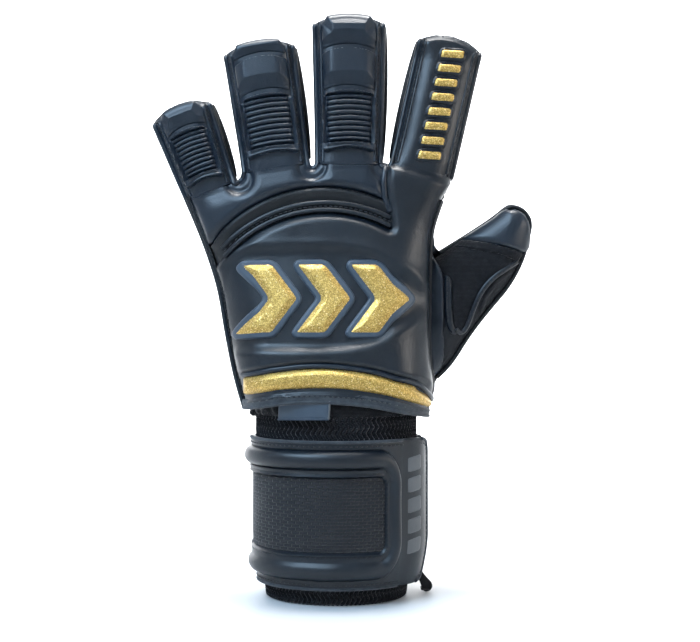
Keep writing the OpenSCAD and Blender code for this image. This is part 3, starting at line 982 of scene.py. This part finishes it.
make("emblem_print",
     [panel(c, back_form, pressed(1.2, 1.5, 3.5), 0.45, 2.0, 0.7) for c in chevrons]
     + [panel(b, back_form, 1.3, 0.45, 1.8, 0.9, material=1) for b in borders],
     [GOLD, BORDER], body="glove", replaces="emblem")
make("bar_print",
     [panel(gold_bar, back_form, pressed(0.7, 1.5, 3.0), 0.5, 2.0, 0.7),
      bead(above_bar, back_form, 0.5, 2.2, 1.6, material=1)],
     [GOLD, PAINTED_HIGHLIGHT_PANEL], body="glove", replaces="gold_bar")

hem_line = resample(soften(HEM, 2, False), 1.0, False)
hem_top = hem_line + (0.3, 4.2)
hem_outline = np.vstack([hem_line, hem_top[::-1]])
make("hem_tape",
     [panel(hem_outline, back_form, 0.9, 0.5, 1.6, 0.6),
      bead(hem_line, back_form, 0.4, 1.8, 2.0, material=1),
      stitches(hem_line + (0.1, 2.6), back_form, 0.95)],
     [TAPE, TAPE, THREAD], body="glove", replaces="back_hem")

hand_foam = np.vstack([unrolled(edge_between(beside(LITTLE_SIDE, -4), 92, 178)), (-50, 184), (-32, 190),
                       (2, 192), (30, 189), (39, 176), (37, 150), (37, 110), (38, 96), (20, 94), (0, 96),
                       (-30, 96)])
make("back_foam_layer", [panel(hand_foam, back_foam_form, 0.0, 1.6, 1.2, 0.8)], [FOAM], body="glove",
     replaces="back_foam")


def crescent_relief(p, d):
    """Slopes up from the piping to the knuckle band."""
    (cx, cz), r = LOW_CIRCLE
    up = np.hypot(p[:, 0] - cx, p[:, 1] - cz) - r
    return -0.6 + 2.4 * smoothstep((up - 4) / 8) * smoothstep((d + 1) / 3)


crescent_outline = np.vstack([low_arc, [(22.5, 177.5), (22.3, 181), (20.5, 184)], high_arc[::-1]])
# The crescent takes the darker copy of the panel, painted shade on its downward slope.
make("crescent_skin",
     [panel(unrolled(crescent_outline), back_form, crescent_relief, 0.6, 1.6, 0.8)], [SHADE],
     body="glove", replaces="knuckle_crescent")
piping = []
for lift in (0.8, 4.2):
    line = circle_line(LOW_CIRCLE, -54 - lift * 0.4, CRESCENT_END + 0.4, lift, 70)
    piping.append(bead(unrolled(line), back_form, 0.9, 2.1, 1.7))
between_piping = circle_line(LOW_CIRCLE, -54, CRESCENT_END, 2.5, 70)
piping.append(stitches(unrolled(between_piping), back_form, 0.7, thick=0.55, material=1))


def band_relief(p, d):
    away = np.min([np.hypot(*(p - c - (0, -1)).T) for c in crotches], 0)
    ring_groove = -0.9 * np.exp(-((away - 6.8) / 1.0) ** 2)
    rise = 1.7 * smoothstep(d / 3.5) * smoothstep((away - 6) / 5) * smoothstep(nearest_base(p) / 10)
    return ring_groove + rise


def nearest_base(p):
    return np.min([nearest(p, f.base_line(), closed=False)[0] for f in FINGERS[:3]], 0)


base_lines = [f.base_line() for f in FINGERS[:3]]
band_outline = np.vstack([high_arc[::-1], edge_between(little_edge, high_z, PINKY.base_line()[0][1]),
                          *base_lines, inner_seam[:3]])
# The knuckle band takes the lighter copy of the panel, a painted highlight.
make("knuckle_skin",
     [panel(unrolled(band_outline), back_form, band_relief, 0.6, 1.8, 1.0, flush=base_lines)],
     [PAINTED_HIGHLIGHT_PANEL], body="glove", replaces="knuckle_band")

# The edge round each crotch, and the seam from the crotch to the crescent
def round_crotch(a, b, inset, drop):
    """A line from one finger's side to the next one's, dipping between them."""
    ends = a.plan([(a.half_base - inset, 0.4)]), b.plan([(inset - b.half_base, 0.4)])
    low = (ends[0] + ends[1]) / 2 - (0, drop)
    across = (ends[1] - ends[0]) / 2
    return soften(np.vstack([ends[0], low - across * 0.7, low + across * 0.7, ends[1]]), 2, False)


webs = []
for a, b in zip(FINGERS, FINGERS[1:]):
    front_line = unrolled(round_crotch(a, b, FLANGE_IN, 2.6))
    palm_line = unrolled(round_crotch(a, b, 1.2, 2.6), palm_outline)
    webs += [facing_edge(front_line, back_form, 0.3, 2.5, 1.7, 0),
             seam_edge(palm_line, palm_form, material=1, flip=True, width=2.0, high=1.6),
             side_wall(round_crotch(a, b, 0.3, 1.0), seam_y, 4.5, 4.5, 1)]
webs.append(bead(np.array(inner_seam), back_form, 0.5, 2.6, 1.8, material=0))
make("crotch_edges", webs, [PAINTED_HIGHLIGHT_PANEL, LATEX], body="glove", replaces="finger_webs")
make("crescent_piping", piping, [PANEL, THREAD], body="glove")

# Little finger's side of the hand
side_line = beside(soften(LITTLE_LINE[1:], 2, False), -0.3)
make("little_side_wall",
     [side_wall(side_line, seam_y, 8, 9, 0),
      facing_edge(unrolled(beside(side_line, 0.3 - FLANGE_IN)), back_form, 0.3, 2.4, 1.7, 1),
      stitches(unrolled(beside(side_line, 0.3 - STITCH_IN)), back_form, 0.1)],
     [LATEX, PANEL, DARK_THREAD], body="glove", replaces="little_finger_side")


# ---- palm ----

palm_end = [(THUMB_ROOT_X, 162.0), (THUMB_ROOT_X, 102.6)]
palm_low = [(38, WRIST_Z - 2), (-45, WRIST_Z - 2)]
palm_skin_outline = np.vstack([unrolled(beside(LITTLE_SIDE[1:], -1.0), palm_outline),
                               *[f.base_line() for f in FINGERS], (45.6, 183), (41.4, 174),
                               (41.3, 168), palm_end, (42.4, 98), palm_low])


def palm_relief(p, d):
    return creases(p * 1.1, 0.5) * smoothstep(d / 12)


def palm_lining_relief(p, d):
    return creases(p, 0.3)


flush_palm = [f.base_line() for f in FINGERS] + [palm_end]
make("palm_skin",
     [panel(palm_skin_outline, palm_form, palm_relief, 0.8, 3.0, 1.4, flip=True, flush=flush_palm)],
     [LATEX], body="glove", replaces="palm_latex")
lining = [(-40, 94), (-49, 126), (-54, 154), (-48, 182), (-20, 190), (16, 192),
          (40, 190), (38, 176), (38, 100), (30, 92)]
make("palm_lining_layer",
     [panel(soften(lining, 2), palm_foam_form, palm_lining_relief, 1.6, 1.2, 0.8, flip=True)],
     [FOAM], body="glove", replaces="palm_lining")


# ---- thumb ----

thumb_bend = ("glove", "thumb", (THUMB_ROOT_X * MM, 0.023, 0.132), (0.062, 0.023, 0.132))
HOOD_EDGE = [(53, 166.9), (62, 167.0), (70.3, 165.4), (77.5, 163.4), (86.5, 160.8)]
BINDING_LOW = [(52, 163.5), (62, 162.6), (72.3, 160.9), (82.7, 156.9)]
MESH_EDGE = [(47.0, 151), (50.6, 147.6), (50.9, 140), (51.2, 128), (52.4, 124.2), (55, 122.6),
             (57.6, 124.2), (59.4, 128), (62, 135.5), (65.2, 142.8), (70.3, 148.7), (76, 152.6),
             (82.5, 156.6)]
thumb_edge_line = smooth_line(over_thumb, step=1.0)


def on_thumb(points):
    return unrolled(points, thumb_outline, thumb_roll)


def mesh_relief(p, d):
    return creases(p * 2, 0.35) - 0.2


def under_thumb_relief(p, d):
    return -0.9 + creases(p * 1.6, 0.3)


mesh_outline = np.vstack([soften(MESH_EDGE, 2, False), (83, 159), HOOD_EDGE[::-1][1:], (49.5, 164.2),
                          (45.5, 161.3), (42.6, 160), (43.6, 156)])
make("thumb_mesh_skin", [panel(on_thumb(mesh_outline), thumb_form, mesh_relief, 0.6, 1.4, 0.8)],
     [KNIT], blend=thumb_bend, replaces="thumb_mesh")

hood_outline = np.vstack([HOOD_EDGE, (88.2, 164), (88.9, 170), (88.3, 175.5), (86, 179.6), (82.4, 182),
                          (78.5, 182.8), (75, 181.2), (70.6, 177.6), (55.6, 167.9)])
hood_outline = soften(resample(hood_outline, 2.0), 1)
binding = np.vstack([HOOD_EDGE[:4], (85.5, 161.2), BINDING_LOW[::-1]])
make("thumb_hood_skin",
     [panel(on_thumb(hood_outline), thumb_form, pressed(0.2, 0.9, 2), 0.5, 1.8, 0.9),
      panel(on_thumb(binding), thumb_form, 0.5, 0.5, 1.4, 0.7, material=1)],
     [PAINTED_HIGHLIGHT_PANEL, KNIT], blend=thumb_bend, replaces="thumb_hood")

round_thumb = beside(thumb_edge_line, -0.9)[1:-1]
thumb_front = np.vstack([(45.6, 160.8), round_thumb, (45.6, 103), (46.2, 128), (46.8, 150)])
thumb_palm = unrolled(np.vstack([palm_end[0], round_thumb, palm_end[1]]), palm_outline)
make("thumb_palm_skin",
     [panel(thumb_palm, palm_form, 0.3, 0.8, 2.6, 1.4, flip=True, flush=[palm_end]),
      panel(on_thumb(thumb_front), thumb_form, under_thumb_relief, 0.8, 1.4, 0.9)],
     [LATEX], blend=thumb_bend, replaces="thumb_palm")

mesh_edge_line = soften(MESH_EDGE, 2, False)
left_strip = [(47.6, 150.4), (49.6, 150.4), (50.9, 147), (51.0, 136), (51.4, 128), (53.6, 122.6),
              (51.4, 122.4), (48.6, 126), (47.4, 133), (47.2, 146)]
left_sewn = np.array([(48.6, 148.6), (48.5, 140), (48.8, 129)])
round_mesh = mesh_edge_line[mesh_edge_line[:, 0] > 52.2]
crease_line = [(79, 152), (72, 147), (67, 139.5), (65, 132)]
make("thumb_seams",
     [bead(on_thumb(beside(round_mesh, 0.6)), thumb_form, 0.3, 2.4, 1.6),
      panel(on_thumb(soften(resample(left_strip, 1.5), 2)), thumb_form, 0.9, 0.5, 1.6, 0.8),
      stitches(on_thumb(left_sewn), thumb_form, 0.95),
      stitches(on_thumb(beside(round_mesh, 0.6)), thumb_form, 1.05, length=1.5, thick=0.45),
      bead(on_thumb(np.array(crease_line)), thumb_form, -0.7, 2.4, 1.2, material=1),
      side_wall(beside(thumb_edge_line, -0.2), thumb_seam_y, 5, 6, 1),
      bead(on_thumb(beside(thumb_edge_line, -1.2)), thumb_form, 0.0, 2.0, 1.6, material=1)],
     [PANEL, LATEX, DARK_THREAD], blend=thumb_bend, replaces="thumb_gusset")


def strip_height(p, d):
    """Faces the little finger's side: low beside the back of the hand, high beside the thumb."""
    across = np.clip((p[:, 0] - 40) / 6, 0, 1)
    return -0.8 + (0.6 + 1.6 * across) * smoothstep((p[:, 1] - 116) / 14)


facet = [(40.2, 104), (40.0, 130), (40.0, 160), (39.8, 172), (41.4, 172), (43.4, 157), (46.6, 151),
         (46.9, 130),
         (46.2, 114), (44.6, 104)]
hand_side = beside(soften(THUMB_SIDE[:-1], 2, False), -0.3)
make("thumb_side_strip", [panel(soften(resample(facet, 2), 1), thumb_form, strip_height, 0.5, 2.2, 0.7),
                          side_wall(hand_side, seam_y, 10, 9, 1)], [PAINTED_HIGHLIGHT_PANEL, LATEX],
     body="glove", replaces="thumb_side")


# ---- cuff ----

cuff_low, cuff_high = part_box("knit_sleeve")
CUFF_X = (cuff_low.x + cuff_high.x) / 2 / MM
SLEEVE_RX, SLEEVE_RY = (cuff_high.x - cuff_low.x) / 2 / MM, (cuff_high.y - cuff_low.y) / 2 / MM


def taper(z):
    """The cuff draws in towards its rim."""
    return -4.2 * smoothstep((30 - z) / 32)


def round_cuff(angle, out, z):
    """A place round the cuff: out is from the sleeve's outside, and angle 0 is the front."""
    g = out + taper(z)
    return np.stack([CUFF_X + (SLEEVE_RX + g) * np.sin(angle), -(SLEEVE_RY + g) * np.cos(angle), z], 1)


class CuffForm:
    """A form round the cuff. Its plan is (distance round from the front, z). lift adds to out."""

    def __init__(self, out, lift=None):
        self.out, self.lift = out, lift
        self.angles = np.linspace(-math.pi, 2 * math.pi, 1081)
        x = (SLEEVE_RX + out) * np.sin(self.angles)
        y = -(SLEEVE_RY + out) * np.cos(self.angles)
        self.along = np.r_[0, np.cumsum(np.hypot(np.diff(x), np.diff(y)))]
        self.along -= np.interp(0, self.angles, self.along)

    def __call__(self, p):
        p = np.asarray(p, float)
        angle = np.interp(p[:, 0], self.along, self.angles)
        return round_cuff(angle, self.out + (self.lift(p) if self.lift else np.zeros(len(p))), p[:, 1])

    def at_angle(self, degrees):
        return float(np.interp(math.radians(degrees), self.angles, self.along))

    def at_x(self, x):
        return self.at_angle(math.degrees(math.asin((x - CUFF_X) / (SLEEVE_RX + self.out))))


def knitted(pitch_count, depth, row=5.6, lean=2.6):
    """Ribs of knitting that lean one way and then the other, row by row."""
    stitch_height = 1.15

    def ripple(angle, z, index):
        zigzag = np.abs((z / row) % 1 - 0.5) * 2 * lean
        rib = depth * np.sin(pitch_count * angle + zigzag * 2)
        return rib + 0.25 * depth * np.cos(2 * math.pi * z / stitch_height)
    return ripple


def band_profile(low, high, out, thick, step=0.55, round_low=0.0):
    """Outside upwards, then inside downwards."""
    z = np.arange(low, high + 1e-6, step)
    roll = -round_low * (1 - np.sqrt(1 - (1 - np.clip((z - low) / max(round_low, 0.1), 0, 1)) ** 2))
    outer = np.stack([out + roll, z], 1)
    inner = np.array([(out - thick, z) for z in (high, (low + high) / 2, low + 0.5 * round_low)])
    return np.vstack([outer, inner])


def outside_knit(depth, profile):
    """Knitting on a band's outside, and a smooth inside."""
    ripple, count = knitted(KNIT_RIBS, depth), len(profile) - 3
    return lambda angle, z, index: np.where(index < count, ripple(angle, z, index), 0)


KNIT_TURNS, KNIT_RIBS = 768, 96
top_band = band_profile(73.0, 86.0, 0.9, 3.0)
sleeve_tube = np.array([(-0.6, 5), (-0.6, 40), (-0.6, 74), (-2.9, 74), (-2.9, 40), (-2.9, 5)])
make("knit_tube", [ring(top_band, KNIT_TURNS, outside_knit(0.6, top_band)), ring(sleeve_tube, 160)],
     [KNIT], body="glove", replaces="knit_sleeve", sharp=60)
rim_band = band_profile(0.0, 9.5, 0.3, 2.6, 0.5, 1.6)
make("knit_rim", [ring(rim_band, KNIT_TURNS, outside_knit(0.55, rim_band))],
     [KNIT], body="glove", replaces="cuff_rim", sharp=60)


def bunched(angle, z, index):
    """Loose jersey gathered between the cuff and the hand."""
    folds = np.sin(23 * angle + 1.3 * np.sin(5 * angle)) + 0.6 * np.sin(37 * angle + z)
    return 0.35 * folds * smoothstep((z - 84) / 3) * (index < 13)


fabric = np.array([(-0.4, 84), (0.5, 85), (1.1, 86), (1.4, 87), (1.5, 88), (1.4, 89), (1.2, 90),
                   (0.9, 91), (0.4, 92), (-0.2, 93), (-0.9, 94), (-1.7, 95), (-2.6, 96),
                   (-4.2, 95), (-3.6, 90), (-2.6, 84)])
make("wrist_jersey", [ring(fabric, 420, bunched)], [KNIT], body="glove", replaces="wrist_fabric",
     sharp=60)

# Blank folded label
label_form = CuffForm(4.2)
label = [(label_form.at_x(x), z) for x, z in [(-29.5, 84.6), (-6.5, 85.2), (-6.0, 93.4), (-29.2, 92.8)]]
fold, low_edge = np.array(label[1:3]), np.array(label[:2])
make("blank_label",
     [panel(label, label_form, 0.3, 0.5, 0.9, 0.35),
      bead(fold, label_form, 0.0, 0.9, 1.3, material=1),
      bead(low_edge, label_form, 0.0, 0.8, 1.1)],
     [BORDER, PRINT], body="glove", replaces="label_tab")

# ---- strap ----

strap_form = CuffForm(3.2)
STRAP_LOW, STRAP_HIGH = 8.0, 75.2
WINDOW_LOW, WINDOW_HIGH, WINDOW_END = 25.0, 58.5, 19.0
WINDOW_R, WINDOW_SQUEEZE = 4.5, 1.6
hinge_at, tab_at = strap_form.at_angle(-90) + 0.4, strap_form.at_x(26.5)
strap_end_at = strap_form.at_angle(86)
window_at = strap_form.at_x(WINDOW_END)


def from_window(p):
    """Distance out from the window, with the right side's parts half as wide as the others."""
    middle, half = (WINDOW_LOW + WINDOW_HIGH) / 2, (WINDOW_HIGH - WINDOW_LOW) / 2 - WINDOW_R
    dx = np.maximum((p[:, 0] - window_at) * WINDOW_SQUEEZE + WINDOW_R, 0)
    dz = np.maximum(np.abs(p[:, 1] - middle) - half, 0)
    return np.hypot(dx, dz) - WINDOW_R


def frame_relief(p, d):
    w = from_window(p)
    lip = 0.9 * smoothstep((w + 0.2) / 0.8) - 0.5 * np.exp(-((w - 2.1) / 0.5) ** 2)
    lip = lip - 0.9 * smoothstep((w - 3.7) / 0.7)
    t = np.clip((w - 8.2) / 4.1, -1, 1)
    roll = 3.4 * np.sqrt(1 - t ** 2)
    beyond = 0.5 * smoothstep((w - 12.3) / 1.0)
    right = smoothstep((p[:, 0] - window_at - 7) / 3)
    ridge = 0.5 * np.exp(-((p[:, 0] - window_at - 9) / 1.1) ** 2) * smoothstep(d / 4)
    return lip + roll * (1 - 0.55 * right) + beyond + ridge + creases(p * 1.3, 0.16)


def rounded(low, high, left, right, r, squeeze=1.0):
    """A strip with two round corners at its right end, squeezed across by that much."""
    middle = right - r / squeeze
    corners = [*arc(0, low + r, r, -90, 0, 6), *arc(0, high - r, r, 0, 90, 6)]
    return [(left, low), *[(middle + x / squeeze, z) for x, z in corners], (left, high)]


window = rounded(WINDOW_LOW, WINDOW_HIGH, hinge_at - 0.4, window_at, WINDOW_R, WINDOW_SQUEEZE)
strap_line = [(tab_at, STRAP_LOW), (tab_at, STRAP_HIGH)]
window_edge = rounded(WINDOW_LOW, WINDOW_HIGH, hinge_at, window_at, WINDOW_R, WINDOW_SQUEEZE)
lower_part = [(hinge_at, STRAP_LOW), (tab_at, STRAP_LOW), (tab_at, STRAP_HIGH), (hinge_at, STRAP_HIGH)]
frame_outline = np.vstack([lower_part, window_edge[::-1]])


def bound_edges(low, high, start, end, lift, inset, sewn_lift):
    """A bound lower and upper edge of the strap, each with a row of stitches inside it."""
    parts = []
    for z, inward in ((low, 1), (high, -1)):
        line = np.array([(start, z + 0.5 * inward), (end, z + 0.5 * inward)])
        parts.append(bead(line, strap_form, lift, 1.6, 2.0, material=1))
        parts.append(stitches(line + (0, inset * inward), strap_form, sewn_lift))
    return parts


sewn_in, sewn_shift = 1.9, 0.7
sewn_edge = [(x + sewn_shift, z)
             for x, z in rounded(WINDOW_LOW - sewn_in, WINDOW_HIGH + sewn_in, hinge_at, window_at,
                                 WINDOW_R + sewn_in, WINDOW_SQUEEZE)]
flange_stitches = stitches(soften(sewn_edge, 1, False), strap_form, 0.25)
make("strap_frame",
     [panel(frame_outline, strap_form, frame_relief, 0.6, 1.8, 0.7, flush=[strap_line]),
      *bound_edges(STRAP_LOW, STRAP_HIGH, hinge_at, tab_at, 0.2, 1.9, 0.5), flange_stitches],
     [PANEL, TAPE, DARK_THREAD], body="strap", replaces="strap_body")
mesh_form = CuffForm(2.4)
scale = mesh_form.at_angle(80) / strap_form.at_angle(80)
mesh_window = grown(np.asarray(window) * (scale, 1), 0.8)
mesh_window[:, 0] = np.maximum(mesh_window[:, 0], hinge_at * scale)


def window_relief(p, d):
    return 0.2 + creases(p * 1.5, 0.2)


make("strap_window", [panel(mesh_window, mesh_form, window_relief, 0.8, 1.2, 0.5)], [MESH],
     body="strap", replaces="strap_mesh")


def tab_relief(p, d):
    t = smoothstep((p[:, 0] - tab_at) / 6)
    return frame_relief(p, d) * (1 - t) + tab_lift(p)


def tab_lift(p):
    """The end stands off the cuff a little."""
    return 0.9 * smoothstep((p[:, 0] - tab_at) / 6) + 2.0 * smoothstep((p[:, 0] - tab_at) / 16)


tab_outline = np.array(rounded(STRAP_LOW, STRAP_HIGH, tab_at, strap_end_at, 9))
tab_edge = beside(soften(tab_outline[1:-1][::-1], 1, False), -0.6)
tab_sewn = beside(soften(tab_outline[1:-1][::-1], 1, False), -2.6)
marks = []
tab_form = CuffForm(3.2, tab_lift)
mark_left, mark_right = strap_form.at_x(28.4), strap_form.at_x(33.4)
for i in range(5):
    z = 22 + i * 9.4
    mark = [(mark_left, z), (mark_right, z + 1.2), (mark_right, z + 8.2), (mark_left, z + 7)]
    marks.append(panel(soften(resample(mark, 1.4), 2), tab_form, 0.35, 0.4, 1.0, 0.4, material=3))
make("strap_end",
     [panel(tab_outline, strap_form, tab_relief, 0.6, 1.8, 0.8, flush=[strap_line]),
      bead(tab_edge, tab_form, -0.2, 1.8, 2.0, material=1),
      stitches(tab_sewn, tab_form, 0.05), *marks],
     [PANEL, TAPE, THREAD, PRINT], body="strap", replaces="strap_tab")

hook_form = CuffForm(1.5)
hook_outline = rounded(18, 66, hook_form.at_x(12), hook_form.at_angle(80), 4)
make("hook_face", [panel(np.array(hook_outline), hook_form, 0.3, 0.8, 1.0, 0.4)], [HOOKS], body="strap",
     replaces="hook_patch")
loop_form = CuffForm(0.3)
loop_outline = rounded(18, 66, loop_form.at_x(5), loop_form.at_angle(82), 4)
make("loop_face", [panel(np.array(loop_outline), loop_form, 0.3, 0.8, 0.9, 0.4)], [HOOKS], body="glove",
     replaces="loop_patch")

wrap_start, wrap_end = strap_form.at_angle(91), strap_form.at_angle(269)
WRAP_LOW, WRAP_HIGH = 15, STRAP_HIGH - 0.4
wrap_outline = [(wrap_start, WRAP_LOW), (wrap_end, WRAP_LOW),
                (wrap_end, WRAP_HIGH), (wrap_start, WRAP_HIGH)]


def round_band(p, middle, half=4.2, height=1.2):
    """A round ridge along the strap."""
    return height * np.sqrt(1 - np.clip((p[:, 1] - middle) / half, -1, 1) ** 2)


def wrap_relief(p, d):
    return round_band(p, 68) + round_band(p, 22) + creases(p * 1.2, 0.3) * smoothstep(d / 6)


wrap_hems = bound_edges(WRAP_LOW, WRAP_HIGH, wrap_start, wrap_end, -0.3, 2.1, 0.1)
make("strap_palm_side", [panel(wrap_outline, strap_form, wrap_relief, 0.8, 2.8, 0.8), *wrap_hems],
     [PANEL, TAPE, THREAD], body="glove", replaces="strap_wrap")

# ---- pull tail ----

TAIL = [(33.4, 12.5), (35.4, 12.6), (39.2, 7.4), *arc(39.2, 3.6, 2.9, 20, -120, 6), (35.0, 8)]
tail_outline = soften(TAIL, 2)
TAIL_TOP, TAIL_SPREAD = 13.6, 0.12


def front_of_tail(p):
    """The loop's front half, which comes forward on its way down."""
    return np.stack([p[:, 0], 3.2 - TAIL_SPREAD * (TAIL_TOP - p[:, 1]), p[:, 1]], 1)


def back_of_tail(p):
    return np.stack([p[:, 0], 4.4 + TAIL_SPREAD * (TAIL_TOP - p[:, 1]), p[:, 1]], 1)


# Where the webbing turns round at the loop's low end
turn = np.linspace(-1.3, 1.3, 9)
tail_turn = np.stack([np.full(9, 38.9), 3.8 + 2.6 * np.sin(turn), 2.6 - 1.2 * np.cos(turn)], 1)
box = [(34.2, 9.6), (37.2, 9.6), (35.6, 12.7), (33.6, 12.7)]
make("tail_loop",
     [panel(tail_outline, front_of_tail, 0.4, 0.35, 0.9, 0.4),
      panel(tail_outline, back_of_tail, 0.4, 0.35, 0.9, 0.4, flip=True),
      panel(box, front_of_tail, 1.2, 0.4, 1.4, 0.4),
      stitches(np.array([(34.4, 11.4), (36.2, 11.4)]), front_of_tail, 1.3, 0.8, 0.6, 0.35, material=1),
      sweep(tail_turn, round_section(4.6, 1.0), np.tile([0.0, 0.0, 1.0], (9, 1)))],
     [WEBBING, THREAD], body="pull_tail", replaces="pull_tail")


# ---- floor, light and camera ----

def backdrop(radius=1.3, height=2.6, bend=0.5):
    """A round floor that curves up into a wall all the way round."""
    curve = [(0.02, 0), (0.5, 0), (radius - bend, 0)]
    for a in np.linspace(0.1, math.pi / 2, 12):
        curve.append((radius - bend + bend * math.sin(a), bend - bend * math.cos(a)))
    curve.append((radius, height))
    turns, n = 72, len(curve)
    around = np.linspace(0, 2 * math.pi, turns, endpoint=False)
    verts = [(r * math.cos(a), r * math.sin(a), z) for a in around for r, z in curve]
    faces = [(i * n + j, (i + 1) % turns * n + j, (i + 1) % turns * n + j + 1, i * n + j + 1)
             for i in range(turns) for j in range(n - 1)]
    faces.append(tuple(i * n for i in range(turns))[::-1])
    mesh = bpy.data.meshes.new("backdrop")
    mesh.from_pydata(verts, [], faces)
    mesh.polygons.foreach_set("use_smooth", [True] * len(faces))
    mesh.materials.append(plain_floor())
    floor = bpy.data.objects.new("backdrop", mesh)
    bpy.context.scene.collection.objects.link(floor)


def soft_light(name, place, aim, size, power, colour, spread):
    light = bpy.data.lights.new(name, "AREA")
    light.shape = "DISK"
    light.size = size
    light.energy = power
    light.color = colour
    light.spread = math.radians(spread)
    lamp = bpy.data.objects.new(name, light)
    lamp.location = place
    lamp.rotation_euler = (Vector(aim) - Vector(place)).to_track_quat("-Z", "Y").to_euler()
    bpy.context.scene.collection.objects.link(lamp)


backdrop()
MIDDLE_OF_GLOVE = (0, 0, 0.13)
soft_light("sky", (-0.5, -0.6, 0.95), MIDDLE_OF_GLOVE, 0.7, 17, (0.52, 0.75, 1.0), 180)
soft_light("fill", (1.1, -0.5, 0.2), MIDDLE_OF_GLOVE, 0.5, 1.0, (1.0, 0.93, 0.85), 60)
soft_light("wall", (0.0, 0.3, 1.6), (0, 1.25, 0.3), 1.0, 75, (1, 1, 1), 105)
soft_light("top", (0.0, 0.1, 1.9), (0, 0.1, 0), 1.2, 7, (1, 1, 1), 180)
world = bpy.data.worlds.new("studio")
world.use_nodes = True
world.node_tree.nodes["Background"].inputs["Color"].default_value = (0.7, 0.85, 1, 1)
world.node_tree.nodes["Background"].inputs["Strength"].default_value = 0.03
bpy.context.scene.world = world
bpy.context.scene.view_settings.view_transform = "Standard"

camera_data = bpy.data.cameras.new("camera")
camera_data.sensor_width = 36
camera_data.lens = 61.5
camera = bpy.data.objects.new("camera", camera_data)
camera.location = (0.003, -0.565, 0.129)
camera.rotation_euler = (math.pi / 2, 0, 0)
bpy.context.scene.collection.objects.link(camera)
bpy.context.scene.camera = camera
